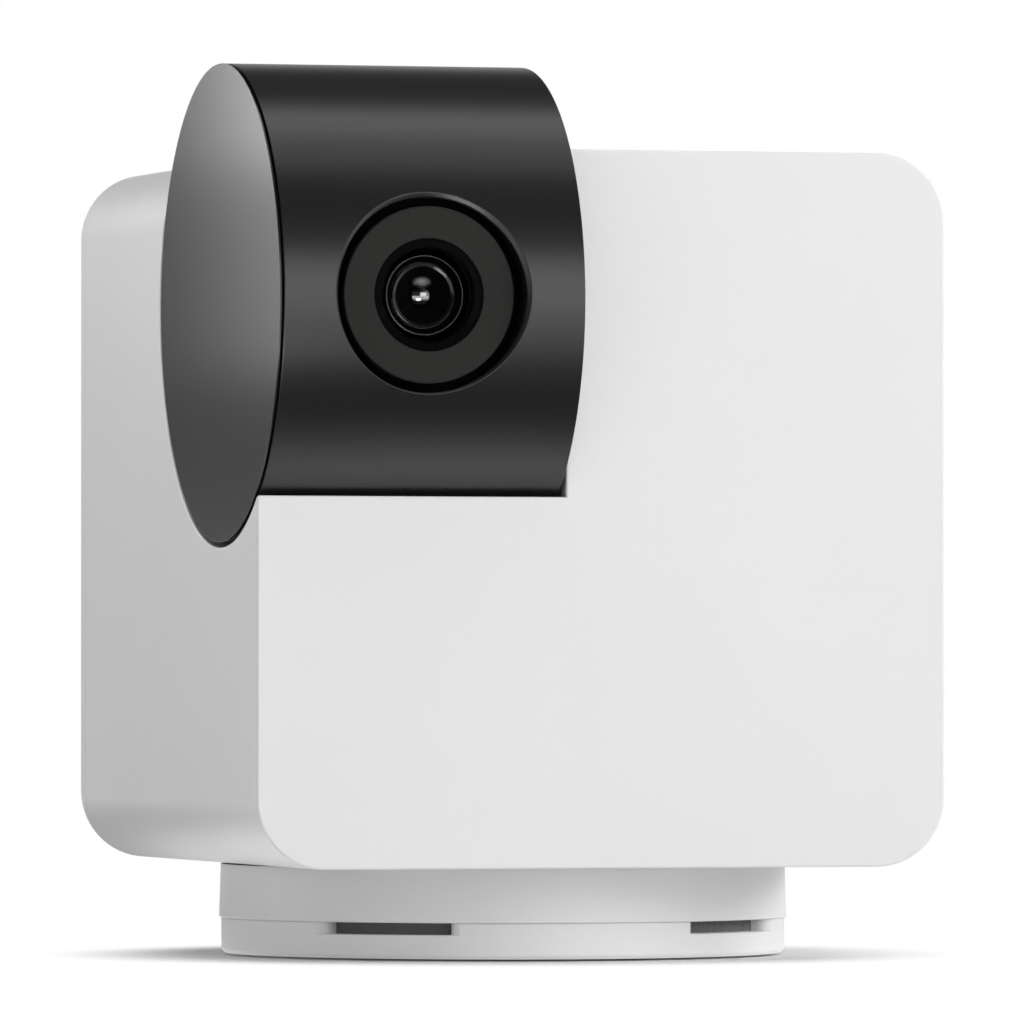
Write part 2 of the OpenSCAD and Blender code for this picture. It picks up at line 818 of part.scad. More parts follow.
module foot_ring() {
    color("dimgray")
        ring(foot_r - foot_w, foot_r, foot_lift + foot_seat);
}

module tripod_insert() {
    color("goldenrod")
        translate([0, 0, plate_z])
            ring(thread_r, insert_r, thread_l);
}

module base_screws() {
    color("silver")
        at_base_screws(counterbore_z)
            mirror([0, 0, 1])
                screw(roof_z - counterbore_z - cover_fit);
}

module thrust_washer() {
    color("ivory")
        translate([0, 0, base_h + washer_lift - washer_t])
            ring(washer_r, washer_r + washer_w, washer_t);
}

module pan_gear() {
    color("ivory")
        translate([0, 0, pan_gear_z])
            linear_extrude(gear_t)
                difference() {
                    rotate([0, 0, pan_dir])
                        polygon(gear_outline(pan_teeth, gear_addendum));
                    flat_round(hub_r, seat_fit);
                }
}

module pan_retainer() {
    color("silver")
        translate([0, 0, pan_clip_z])
            clip(hub_r);
}

module base_board() {
    color("seagreen") {
        translate([-base_board_w / 2, base_board_y, plate_top])
            cube([base_board_w, base_board_l, board_t]);
        translate([-connector_w / 2, base_board_y, base_board_top])
            cube([connector_w, connector_t, cable_z + wire_r - base_board_top]);
    }
}

module usb_socket() {
    color("silver")
        to_back(0, usb_mouth_y - usb_l, usb_z) {
            linear_extrude(usb_l)
                difference() {
                    stadium(usb_w, usb_h);
                    stadium(usb_w - 2 * usb_wall, usb_h - 2 * usb_wall);
                }
            linear_extrude(board_t)
                stadium(usb_w, usb_h);
            translate([-tongue_w / 2, -tongue_t / 2, 0])
                cube([tongue_w, tongue_t, usb_l - usb_inset]);
        }
}

module speaker() {
    cone_r = speaker_r - gasket_w;
    color("dimgray")
        translate([0, -speaker_y, plate_top])
            rotate_extrude()
                polygon([
                    [0, 0],
                    [speaker_r, 0],
                    [speaker_r, speaker_h],
                    [cone_r, speaker_h],
                    [cone_r / 2, speaker_h / 2],
                    [0, speaker_h / 2]
                ]);
}

module speaker_gasket() {
    color("black")
        translate([0, -speaker_y, speaker_top])
            ring(speaker_r - gasket_w, speaker_r, roof_z - speaker_top);
}

module base_cable() {
    color("crimson") {
        to_back(0, wire_bend, cable_z)
            cylinder(r = wire_r, h = base_board_y - wire_bend);
        translate([0, wire_bend, cable_z + wire_bend])
            rotate([90, 0, 90])
                rotate([0, 0, 180])
                    wire_bend_quarter();
        translate([0, 0, cable_z + wire_bend])
            cylinder(r = wire_r, h = hub_top - cable_z - wire_bend);
    }
}

// Housing
module at_cover_screws(z) {
    for (x = [-1, 1])
        translate([x * cover_screw_x, cover_boss_y, z])
            children();
}

module at_board_screws(y) {
    for (x = [-1, 1], z = board_screw_zs)
        to_back(x * board_screw_x, y, z)
            children();
}

module body_shell() {
    color("white")
        difference() {
            union() {
                difference() {
                    body_slab(0, front_y, seam_y);
                    body_slab(body_wall, front_y + body_wall, seam_y + over);
                }
                intersection() {
                    body_slab(0, front_y, seam_y);
                    at_tilt_axis()
                        translate([0, 0, left_x])
                            cylinder(r = cavity_r + cavity_wall, h = wall_x - left_x);
                }
                at_pan_pinion(floor_z - post_root)
                    at_ears()
                        cylinder(r = post_r, h = pan_bracket_z - floor_z + post_root);
                at_tilt_pinion(wall_x - post_root)
                    at_ears()
                        cylinder(r = post_r, h = tilt_bracket_x - wall_x + post_root);
                translate([0, stop_r, body_z - stop_depth])
                    cylinder(r = stop_peg_r, h = stop_depth + body_wall);
            }
            at_tilt_axis()
                translate([0, 0, left_x - over])
                    cylinder(r = cavity_r, h = cavity_x - left_x + over);
            at_tilt_axis()
                translate([0, 0, cavity_x - over])
                    cylinder(r = tilt_bush_r + seat_fit, h = cavity_end_t + 2 * over);
            translate([0, 0, body_z - over])
                cylinder(r = pan_bush_r + seat_fit, h = body_wall + 2 * over);
            at_pan_pinion(floor_z)
                at_ears()
                    cylinder(r = pilot_r, h = pan_motor_z - floor_z);
            at_tilt_pinion(wall_x)
                at_ears()
                    cylinder(r = pilot_r, h = tilt_motor_x - wall_x);
            at_cover_screws(body_z - over)
                cylinder(r = counterbore_r, h = screw_head_h + seat_fit + over);
            at_cover_screws(body_z)
                cylinder(r = clear_r, h = body_wall + over);
        }
}

module rear_cover() {
    color("white")
        difference() {
            union() {
                body_slab(0, seam_y, back_y);
                difference() {
                    body_slab(body_wall + cover_fit, seam_y - lip_l, seam_y);
                    body_slab(body_wall + cover_fit + lip_t, seam_y - lip_l - over, seam_y);
                }
                at_board_screws(board_back_y)
                    cylinder(r = board_post_r, h = board_post_l);
                at_cover_screws(floor_z + cover_fit)
                    cylinder(r = cover_boss_r, h = cover_boss_h);
                for (x = [-1, 1])
                    translate([x * cover_screw_x - cover_boss_r, cover_boss_y, floor_z + cover_fit])
                        cube([2 * cover_boss_r, cover_screw_y, cover_boss_h]);
            }
            at_cover_screws(floor_z)
                cylinder(r = pilot_r, h = cover_boss_h);
            at_board_screws(board_back_y - over)
                cylinder(r = pilot_r, h = board_post_l + over);
            to_back(0, seam_y - over, button_z)
                cylinder(r = button_r + button_gap, h = cover_t + 2 * over);
            to_back(microphone_x, seam_y - over, microphone_z)
                cylinder(r = sound_hole_r, h = cover_t + 2 * over);
        }
}

module cover_screws() {
    color("silver")
        at_cover_screws(body_z + screw_head_h + seat_fit)
            mirror([0, 0, 1])
                screw(body_wall + cover_boss_h - screw_head_h - 2 * cover_fit);
}

module pan_bush() {
    color("ivory") {
        translate([0, 0, body_z])
            ring(hub_r + run_fit, pan_bush_r, body_wall);
        translate([0, 0, floor_z])
            ring(hub_r + run_fit, pan_bush_r + flange_w, flange_t);
    }
}

module pan_motor() {
    color("lightsteelblue")
        at_pan_pinion(pan_motor_z)
            motor_can();
}

module pan_motor_bracket() {
    color("silver")
        at_pan_pinion(pan_bracket_z)
            bracket_plate();
}

module tilt_bush() {
    color("ivory")
        at_tilt_axis() {
            translate([0, 0, cavity_x])
                ring(trunnion_r + run_fit, tilt_bush_r, cavity_end_t);
            translate([0, 0, wall_x])
                ring(trunnion_r + run_fit, tilt_bush_r + flange_w, flange_t);
        }
}

module tilt_motor() {
    color("lightsteelblue")
        at_tilt_pinion(tilt_motor_x)
            motor_can();
}

module tilt_motor_bracket() {
    color("silver")
        at_tilt_pinion(tilt_bracket_x)
            bracket_plate();
}

module motor_screws() {
    color("silver") {
        at_pan_pinion(pan_motor_z)
            at_ears()
                screw(pan_motor_z - floor_z - cover_fit);
        at_tilt_pinion(tilt_motor_x)
            at_ears()
                screw(tilt_motor_x - wall_x - cover_fit);
    }
}

module main_board() {
    color("seagreen")
        difference() {
            translate([-main_board_w / 2, board_front_y, board_z])
                cube([main_board_w, board_t, board_top - board_z]);
            at_board_screws(board_front_y - over)
                cylinder(r = clear_r, h = board_t + 2 * over);
        }
}

module board_connectors() {
    color("ivory")
        for (place = [[0, loom_z], [link_x, axis_z]])
            translate([place[0] - connector_w / 2, connector_y, place[1] - connector_w / 2])
                cube([connector_w, connector_t, connector_w]);
}

module board_screws() {
    color("silver")
        at_board_screws(board_front_y)
            mirror([0, 0, 1])
                screw(board_t + board_post_l - cover_fit);
}

module processor_shield() {
    color("silver")
        translate([-shield_x - shield_w / 2, board_front_y - shield_t, shield_z - shield_w / 2])
            cube([shield_w, shield_t, shield_w]);
}

module wifi_antenna() {
    color("goldenrod")
        translate([inner_x - antenna_t, -antenna_l / 2, floor_z + antenna_lift - antenna_h / 2])
            cube([antenna_t, antenna_l, antenna_h]);
}

module button_switch() {
    color("dimgray") {
        translate([-switch_w / 2, board_back_y, button_z - switch_w / 2])
            cube([switch_w, switch_t, switch_w]);
        to_back(0, board_back_y, button_z)
            cylinder(r = plunger_r, h = switch_t + plunger_h);
    }
}

module microphone() {
    color("gold")
        translate([microphone_x - microphone_w / 2, board_back_y, microphone_z - microphone_w / 2])
            cube([microphone_w, microphone_t, microphone_w]);
}

module microphone_boot() {
    color("black")
        to_back(microphone_x, board_back_y + microphone_t, microphone_z)
            ring(sound_hole_r, boot_r, board_post_l - microphone_t);
}

module pan_loom() {
    color("crimson") {
        translate([0, 0, hub_top + gear_gap])
            cylinder(r = wire_r, h = loom_z - wire_bend - hub_top - gear_gap);
        translate([0, wire_bend, loom_z - wire_bend])
            rotate([90, 0, 90])
                rotate([0, 0, 90])
                    wire_bend_quarter();
        to_back(0, wire_bend, loom_z)
            cylinder(r = wire_r, h = connector_y - wire_bend);
    }
}

module head_link_cable() {
    color("crimson") {
        at_tilt_axis()
            translate([0, 0, trunnion_x + gear_gap])
                cylinder(r = wire_r, h = link_x - wire_bend - trunnion_x - gear_gap);
        translate([link_x - wire_bend, axis_y + wire_bend, axis_z])
            rotate([0, 0, -90])
                wire_bend_quarter();
        to_back(link_x, axis_y + wire_bend, axis_z)
            cylinder(r = wire_r, h = connector_y - axis_y - wire_bend);
    }
}

// Pieces that spin or travel in the housing
module pan_pinion() {
    color("ivory")
        at_pan_pinion(pan_gear_z)
            pinion_and_shaft();
}

module tilt_pinion() {
    color("ivory")
        at_tilt_pinion(tilt_gear_x)
            pinion_and_shaft();
}

module setup_button() {
    color("white") {
        to_back(0, flange_back_y, button_z)
            cylinder(r = button_r, h = back_y + button_proud - flange_back_y);
        to_back(0, flange_back_y - button_flange_t, button_z)
            cylinder(r = button_r + button_flange, h = button_flange_t);
        to_back(0, stem_y, button_z)
            cylinder(r = button_stem_r, h = flange_back_y - stem_y);
    }
}

// Head
module at_sensor_screws(d) {
    at_lens()
        for (x = [-1, 1], y = [-1, 1])
            translate([x * sensor_screw_w / 2, y * sensor_screw_h / 2, d])
                children();
}

module head_shell() {
    post_end = sqrt(pow(drum_r, 2) - pow(sensor_screw_h / 2 + post_r + lens_rise, 2)) - drum_wall / 4;
    color("black")
        difference() {
            union() {
                at_tilt_axis()
                    rotate_extrude()
                        polygon([
                            [drum_inner_r, shell_x],
                            [drum_r, shell_x],
                            [drum_r, drum_x],
                            [trunnion_r, drum_x],
                            [trunnion_r, trunnion_x],
                            [trunnion_bore_r, trunnion_x],
                            [trunnion_bore_r, drum_x - drum_end_t],
                            [drum_inner_r, drum_x - drum_end_t]
                        ]);
                intersection() {
                    at_lens()
                        translate([0, 0, ledge_back_d])
                            cylinder(r = turret_r, h = drum_r - ledge_back_d);
                    at_tilt_axis()
                        translate([0, 0, left_x])
                            cylinder(r = drum_r - drum_wall / 2, h = drum_l);
                }
                at_sensor_screws(sensor_board_d)
                    cylinder(r = post_r, h = post_end - sensor_board_d);
            }
            at_lens()
                translate([0, 0, ledge_d])
                    cylinder(r = pocket_r, h = drum_r);
            at_lens()
                translate([0, 0, ledge_back_d - over])
                    cylinder(r = ledge_bore_r, h = drum_r);
            at_sensor_screws(sensor_board_d - over)
                cylinder(r = pilot_r, h = sensor_screw_l + over);
            at_tilt_axis()
                translate([0, 0, tilt_clip_x])
                    ring(trunnion_r - clip_groove, trunnion_r + over, clip_t + seat_fit);
            at_tilt_axis()
                translate([trunnion_r - drive_flat, -trunnion_r, tilt_gear_x])
                    cube([trunnion_r, 2 * trunnion_r, trunnion_x - tilt_gear_x + over]);
        }
}

module head_end_cap() {
    spigot_r = drum_inner_r - seat_fit;
    color("black")
        at_tilt_axis()
            rotate_extrude()
                polygon([
                    [0, left_x],
                    [drum_r, left_x],
                    [drum_r, left_x + disc_rim_t],
                    [drum_r - seam_depth, shell_x],
                    [spigot_r, shell_x],
                    [spigot_r, shell_x + spigot_l],
                    [spigot_r - spigot_t, shell_x + spigot_l],
                    [spigot_r - spigot_t, shell_x + disc_back_t],
                    [0, shell_x + disc_back_t]
                ]);
}

module lens_trim() {
    color("black")
        at_lens()
            translate([0, 0, ledge_d])
                ring(bezel_r + seat_fit, pocket_r - seat_fit, trim_h);
}

module lens_bezel() {
    color("dimgray")
        at_lens()
            rotate_extrude()
                polygon([
                    [glass_r - glass_ledge, ledge_d],
                    [bezel_r, ledge_d],
                    [bezel_r, face_d],
                    [glass_r + seat_fit, face_d],
                    [glass_r + seat_fit, glass_d],
                    [glass_r - glass_ledge, glass_d]
                ]);
}

module lens_glass() {
    color("black", 0.5)
        at_lens()
            translate([0, 0, glass_d])
                cylinder(r = glass_r, h = glass_t);
}

module lens_barrel() {
    barrel_back = sensor_board_d + sensor_t + holder_foot_t;
    seat_r = front_lens_r + seat_fit;
    color("black")
        at_lens()
            rotate_extrude()
                polygon([
                    [0, barrel_back],
                    [barrel_r, barrel_back],
                    [barrel_r, barrel_d],
                    [barrel_r - rim_w, barrel_d],
                    [barrel_r - rim_w, barrel_d - rim_groove],
                    [baffle_r, barrel_d - rim_groove],
                    [baffle_r, barrel_d - baffle_sink],
                    [seat_r, front_lens_d + front_lens_edge],
                    [seat_r, front_lens_d],
                    [0, front_lens_d]
                ]);
}

module front_lens() {
    dome = front_lens_curve - sqrt(pow(front_lens_curve, 2) - pow(front_lens_r, 2));
    color("midnightblue")
        at_lens()
            intersection() {
                translate([0, 0, front_lens_d])
                    cylinder(r = front_lens_r, h = dome + front_lens_edge);
                translate([0, 0, front_lens_d + dome + front_lens_edge - front_lens_curve])
                    sphere(r = front_lens_curve);
            }
}

module lens_holder() {
    color("black")
        at_lens()
            difference() {
                union() {
                    translate([-holder_w / 2, -holder_w / 2, sensor_board_d])
                        cube([holder_w, holder_w, holder_foot_t]);
                    translate([0, 0, sensor_board_d])
                        cylinder(r = barrel_r + seat_fit + holder_wall, h = holder_h);
                }
                translate([0, 0, sensor_board_d - over])
                    cylinder(r = barrel_r + seat_fit, h = holder_h + 2 * over);
            }
}

module image_sensor() {
    color("slategray")
        at_lens()
            translate([-sensor_w / 2, -sensor_w / 2, sensor_board_d])
                cube([sensor_w, sensor_w, sensor_t]);
}

module sensor_board() {
    color("seagreen")
        difference() {
            at_lens()
                translate([-sensor_board_w / 2, -sensor_board_h / 2, sensor_back_d])
                    cube([sensor_board_w, sensor_board_h, board_t]);
            at_sensor_screws(sensor_back_d - over)
                cylinder(r = clear_r, h = board_t + 2 * over);
        }
}

module sensor_screws() {
    color("silver")
        at_sensor_screws(sensor_back_d)
            mirror([0, 0, 1])
                screw(board_t + sensor_screw_l - cover_fit);
}

module ir_board() {
    color("black")
        at_lens()
            translate([0, 0, ledge_back_d - board_t])
                ring(lamp_board_bore_r, lamp_board_r, board_t);
}

module ir_leds() {
    color("indigo")
        at_lens()
            for (lamp = [0 : lamp_count - 1])
                rotate([0, 0, 360 * lamp / lamp_count])
                    translate([lamp_circle_r, 0, ledge_back_d])
                        cylinder(r = lamp_r, h = lamp_h);
}

module tilt_washer() {
    color("ivory")
        at_tilt_axis()
            translate([0, 0, drum_x])
                ring(trunnion_r + seat_fit, trunnion_r + slip_w, slip_t);
}

module tilt_gear() {
    color("ivory")
        at_tilt_axis()
            translate([0, 0, tilt_gear_x])
                linear_extrude(gear_t)
                    difference() {
                        rotate([0, 0, tilt_dir])
                            polygon(gear_outline(tilt_teeth, gear_addendum));
                        flat_round(trunnion_r, seat_fit);
                    }
}

module tilt_retainer() {
    color("silver")
        at_tilt_axis()
            translate([0, 0, tilt_clip_x])
                clip(trunnion_r);
}

module head_connector() {
    color("ivory")
        at_lens()
            translate([-connector_w / 2, -connector_w / 2, wire_r])
                cube([connector_w, connector_w, sensor_back_d - wire_r]);
}

module head_cable() {
    color("crimson")
        at_tilt_axis()
            translate([0, 0, lens_x])
                cylinder(r = wire_r, h = trunnion_x - lens_x);
}

base_bottom_plate();
base_top_cover();
foot_ring();
tripod_insert();
base_screws();
thrust_washer();
pan_gear();
pan_retainer();
base_board();
usb_socket();
speaker();
speaker_gasket();
base_cable();
body_shell();
rear_cover();
cover_screws();
pan_bush();
pan_motor();
pan_motor_bracket();
tilt_bush();
tilt_motor();
tilt_motor_bracket();
motor_screws();
main_board();
board_connectors();
board_screws();
processor_shield();
wifi_antenna();
button_switch();
microphone();
microphone_boot();
pan_loom();
head_link_cable();
pan_pinion();
tilt_pinion();
setup_button();
head_shell();
head_end_cap();
lens_trim();
lens_bezel();
lens_glass();
lens_barrel();
front_lens();
lens_holder();
image_sensor();
sensor_board();
sensor_screws();
ir_board();
ir_leds();
tilt_washer();
tilt_gear();
tilt_retainer();
head_connector();
head_cable();
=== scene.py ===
import json
import math

import bmesh
import bpy
from bpy.props import FloatProperty, FloatVectorProperty, IntProperty, PointerProperty
from bpy.types import NodeSocket, Operator, Panel, PropertyGroup
from mathutils import Matrix, Vector


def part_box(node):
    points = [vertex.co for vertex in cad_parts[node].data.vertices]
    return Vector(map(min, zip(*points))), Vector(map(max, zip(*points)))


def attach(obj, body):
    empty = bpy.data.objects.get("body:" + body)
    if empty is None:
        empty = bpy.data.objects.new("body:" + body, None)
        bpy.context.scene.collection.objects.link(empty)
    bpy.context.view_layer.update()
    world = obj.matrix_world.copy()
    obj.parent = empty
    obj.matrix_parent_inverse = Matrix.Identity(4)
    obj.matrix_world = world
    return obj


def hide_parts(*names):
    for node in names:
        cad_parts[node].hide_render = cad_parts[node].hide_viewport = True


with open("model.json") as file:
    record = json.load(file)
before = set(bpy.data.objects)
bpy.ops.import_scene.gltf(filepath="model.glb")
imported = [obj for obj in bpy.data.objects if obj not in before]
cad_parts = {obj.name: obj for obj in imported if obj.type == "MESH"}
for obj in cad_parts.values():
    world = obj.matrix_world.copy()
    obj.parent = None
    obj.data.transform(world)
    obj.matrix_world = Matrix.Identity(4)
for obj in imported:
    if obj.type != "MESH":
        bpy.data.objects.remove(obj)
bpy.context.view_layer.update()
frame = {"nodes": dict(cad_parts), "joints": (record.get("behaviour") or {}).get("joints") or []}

bl_info = {
    "name": "Pet camera",
    "version": (1, 0, 0),
    "blender": (4, 5, 0),
    "location": "3D View > Sidebar > Pet camera",
    "description": "Dresses the frame of a small panning camera and sets it on a studio stage",
    "category": "Object",
}

# Places read from the frame, in metres
NODES = frame["nodes"]
AXIS = Vector(next(j for j in frame["joints"] if j["name"] == "tilt")["pos_m"])
SHELL_LOW, SHELL_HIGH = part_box("body_shell")
COVER_LOW, COVER_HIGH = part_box("rear_cover")
RING_LOW, RING_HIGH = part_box("lens_bezel")
LENS_X = (RING_LOW.x + RING_HIGH.x) / 2
LENS_Z = (RING_LOW.z + RING_HIGH.z) / 2

# Slacks: a point on the drum's skin, a point on a flat face, and two points that are one
MM = 0.001
FLAT = 2e-6
NEAR = 1e-5
WELD = 1e-7

# Faces below this area with a corner this straight are cleaned before shading
SMALL = 20 * MM ** 2
STRAIGHT = math.pi - 0.002

# Angles: faces that are one flat, edges to round, and edges that stay sharp in the shading
LEVEL = math.radians(0.3)
CORNER = math.radians(30)
CRISP = math.radians(32)
FINE = math.radians(26)
COARSE = math.radians(40)

# Turned pieces: local z is up, along the tilt axis, or out of the lens
UPRIGHT = Matrix.Identity(4)
ALONG_DRUM = Matrix(((0, 0, 1, 0), (1, 0, 0, AXIS.y), (0, 1, 0, AXIS.z), (0, 0, 0, 1)))
OUT_OF_LENS = Matrix(((1, 0, 0, LENS_X), (0, 0, -1, AXIS.y), (0, 1, 0, LENS_Z), (0, 0, 0, 1)))

# Colours and depths that materials share
WHITE = (1.0, 1.0, 1.0, 1.0)
TIN = (0.55, 0.54, 0.5, 1.0)
# Grey of the painted highlight, a pale oval above the lens pupil
PAINTED_HIGHLIGHT_GREY = (0.4, 0.4, 0.4)
GRAIN_DEPTH = 0.00002
STREAK_DEPTH = 0.00003
WEAVE_DEPTH = 0.00004
SURFACE = {"Colour": "Color", "Roughness": "Float", "Height": "Float"}

# Colour ramps as (place, level): polished rims of the lens, and what floor and world show in reflections
LENS_RIMS = ((0.0, 0.0), (0.22, 0.0), (0.25, 1.0), (0.40, 1.0), (0.43, 0.0), (0.66, 0.0), (0.69, 1.0),
             (0.79, 1.0), (0.81, 0.0))
FLOOR_RINGS = ((0.0, 0.9), (0.1, 0.9), (0.14, 0.3), (0.17, 0.03), (0.3, 0.03), (0.42, 0.5), (0.6, 1.0))
STUDIO_BANDS = ((0.0, 0.1), (0.45, 0.9), (0.62, 0.9), (0.75, 0.1), (1.0, 0.03))

# Bright spots of the floor in reflections: centre and reach
FLOOR_GLARES = (((-0.05, -0.165, 0.0), 0.05), ((-0.058, -0.046, 0.0), 0.02))

# Lamps: name, place, point aimed at, width, height, radiance, lights matt surfaces, shows in reflections
LAMPS = (
    ("Overhead softbox", (0.1, 0.035, 0.62), (0.1, 0.035, 0.0), 0.9, 0.17, 1.6),
    ("Overhead wing", (0.1, -0.17, 0.62), (0.1, -0.17, 0.0), 0.9, 0.24, 0.8),
    ("Front fill", (0.25, -0.9, 0.19), (0.0, -0.04, 0.06), 0.7, 0.38, 1.6),
    ("Right key", (0.8, -0.62, 0.42), (0.0, 0.0, 0.04), 0.4, 0.4, 9.0, True, False),
    ("Left fill", (-0.7, 0.28, 0.16), (0.0, 0.0, 0.03), 0.4, 0.4, 1.5),
    ("Disc card upper", (-0.12, 0.111, 0.118), (-0.031, -0.019, 0.118), 0.1, 0.084, 3.2, False),
    ("Disc card lower", (-0.12, 0.111, 0.0655), (-0.031, -0.019, 0.0655), 0.1, 0.021, 1.1, False),
)


def length(name, description, default):
    """A length that a user may change."""
    return FloatProperty(name=name, description=description, default=default, min=0.0, unit="LENGTH", precision=5)


def tint(name, description, default):
    """A linear colour that a user may change."""
    return FloatVectorProperty(name=name, description=description, default=default, min=0.0, max=1.0,
                               subtype="COLOR")


class PetCameraSizes(PropertyGroup):
    body_edge: length("Body edge", "Rounding of the body's crisp edges", 0.00022)
    seam_edge: length("Seam edge", "Rounding of both lips of the rear seam", 0.00012)
    base_edge: length("Base edge", "Rounding of the base's edges and slots", 0.00014)
    drum_edge: length("Drum edge", "Rounding of the drum's ends", 0.00012)
    pocket_r: length("Pocket radius", "Radius of the lens pocket", 0.0084)
    pocket_edge: length("Pocket edge", "Mean width of the eased rim of the lens pocket", 0.00028)
    disc_edge: length("Disc edge", "Rounding of the end disc", 0.00003)
    ring_edge: length("Ring edge", "Rounding of the lens rings", 0.0001)
    screw_head_r: length("Screw head", "Radius of the screw heads", 0.0018)
    screw_head_h: length("Screw head height", "Height of the screw heads", 0.0011)
    screw_r: length("Screw shank", "Radius of the screw shanks", 0.0009)
    cross_w: length("Cross width", "Width of the cross in the screw heads", 0.0005)
    cross_l: length("Cross length", "Length of the cross in the screw heads", 0.0022)
    thread_pitch: length("Thread pitch", "Pitch of the tripod thread", 0.00127)
    thread_depth: length("Thread depth", "Depth of the tripod thread", 0.0006)
    contact_w: length("Contact width", "Width of one contact of the power inlet", 0.00025)
    contact_count: IntProperty(name="Contacts", description="Contacts on each side of the inlet's tongue",
                               default=12, min=1)


class PetCameraFinish(PropertyGroup):
    white: tint("White shell", "Colour of the body and the base", (0.80, 0.80, 0.80))
    black: tint("Black drum", "Colour of the drum", (0.0105, 0.0105, 0.0105))
    disc: tint("End disc", "Colour of the drum's end disc", (0.016, 0.016, 0.016))
    ring: tint("Lens ring", "Colour of the grey lens ring", (0.0168, 0.0167, 0.0156))
    inner: tint("Lens inside", "Colour of the black pieces in the lens", (0.0024, 0.0025, 0.0022))
    gauze: tint("Slot gauze", "Colour of the stiff wire gauze behind the slots", (0.19, 0.19, 0.185))
    foot: tint("Foot", "Colour of the rubber foot", (0.05, 0.05, 0.05))
    board: tint("Boards", "Colour of the circuit boards' lacquer", (0.010, 0.085, 0.035))
    brass: tint("Brass", "Colour of the brass pieces", (0.62, 0.42, 0.16))
    steel: tint("Steel", "Colour of the screws and metal shells", (0.55, 0.55, 0.56))


class PetCameraStage(PropertyGroup):
    eye: FloatVectorProperty(name="Camera place", description="Where the camera stands", size=3, subtype="XYZ",
                             default=(-0.275525, -0.969934, 0.027991), unit="LENGTH")
    yaw: FloatProperty(name="Camera yaw", description="Turn of the view to the right", subtype="ANGLE",
                       default=math.radians(15.905))
    pitch: FloatProperty(name="Camera pitch", description="Rise of the view", subtype="ANGLE",
                         default=math.radians(0.65))
    focal: FloatProperty(name="Focal length", description="Focal length in millimetres", default=397.23)
    ambient: FloatProperty(name="Ambient", description="Level of the light from all round", default=0.27)
    floor: tint("Floor", "Colour of the paper floor", (0.86, 0.86, 0.86))


# Meshes

def skin_of(node):
    """A merged copy of a CAD node's mesh, with its flat faces made whole."""
    bm = bmesh.new()
    bm.from_mesh(NODES[node].data)
    bmesh.ops.remove_doubles(bm, verts=bm.verts, dist=WELD)
    bmesh.ops.dissolve_limit(bm, angle_limit=LEVEL, verts=bm.verts, edges=bm.edges,
                             use_dissolve_boundaries=False)
    bm.normal_update()
    return bm


def soften(bm, wanted, width, steps=3):
    """Round the outer corner edges whose two ends are both wanted."""
    edges = [
        e for e in bm.edges
        if len(e.link_faces) == 2 and e.calc_face_angle_signed(0) > CORNER and all(wanted(v.co) for v in e.verts)
    ]
    if not edges:
        raise RuntimeError("no edge to round")
    bmesh.ops.bevel(bm, geom=edges, offset=width, segments=steps, profile=0.5, affect="EDGES")
    bm.normal_update()


def eased(corners, steps=4):
    """An outline of (radius, height, rounding) corners, each rounded by its own radius."""
    outline = []
    for i, (r, h, rounding) in enumerate(corners):
        here = Vector((r, h))
        before = (Vector(corners[i - 1][:2]) - here).normalized()
        after = (Vector(corners[(i + 1) % len(corners)][:2]) - here).normalized()
        if rounding == 0:
            outline.append(here)
            continue
        half = before.angle(after) / 2
        centre = here + (before + after).normalized() * (rounding / math.sin(half))
        start = here + before * (rounding / math.tan(half)) - centre
        end = here + after * (rounding / math.tan(half)) - centre
        for k in range(steps + 1):
            outline.append(centre + start.normalized().slerp(end.normalized(), k / steps).normalized() * rounding)
    return outline


def bent(start, corner, end, steps=4):
    """Points of a small arc that rounds a corner."""
    shares = [k / (steps - 1) for k in range(steps)]
    return [(1 - t) ** 2 * start + 2 * t * (1 - t) * corner + t ** 2 * end for t in shares]


def band(bm, here, there):
    """Faces between two loops of points, except along an axis where the loops meet."""
    for i in range(len(here)):
        j = (i + 1) % len(here)
        if here[i].co != there[i].co or here[j].co != there[j].co:
            bm.faces.new((here[i], there[i], there[j], here[j]))


def swept(outlines, place):
    """A closed solid through (radius, height) outlines set evenly about the local z of its place."""
    bm = bmesh.new()
    rows = []
    for k, outline in enumerate(outlines):
        angle = math.tau * k / len(outlines)
        across = (math.cos(angle), math.sin(angle))
        rows.append([bm.verts.new(place @ Vector((r * across[0], r * across[1], h))) for r, h in outline])
    for here, there in zip(rows, rows[1:] + rows[:1]):
        band(bm, here, there)
    bmesh.ops.remove_doubles(bm, verts=bm.verts, dist=WELD)
    bmesh.ops.recalc_face_normals(bm, faces=bm.faces)
    return bm


def turned(outline, place, steps=144):
    """A closed solid turned from one outline."""
    return swept([outline] * steps, place)


def freeze(obj):
    """Make the evaluated shape the object's own plain mesh."""
    graph = bpy.context.evaluated_depsgraph_get()
    made = bpy.data.meshes.new_from_object(obj.evaluated_get(graph))
    old = obj.data
    obj.modifiers.clear()
    obj.data = made
    bpy.data.meshes.remove(old)
    made.name = obj.name


def as_object(bm, name):
    """A linked object with a mesh from bm."""
    mesh = bpy.data.meshes.new(name)
    bm.to_mesh(mesh)
    bm.free()
    return linked(name, mesh)


def linked(name, data):
    """A new object in the scene."""
    obj = bpy.data.objects.new(name, data)
    bpy.context.scene.collection.objects.link(obj)
    return obj


def cut(obj, cutter):
    """Cut one object's shape out of another and drop the cutter."""
    away = obj.modifiers.new("Cut", "BOOLEAN")
    away.operation = "DIFFERENCE"
    away.solver = "EXACT"
    away.object = cutter
    freeze(obj)
    shape = cutter.data
    bpy.data.objects.remove(cutter)
    bpy.data.meshes.remove(shape)


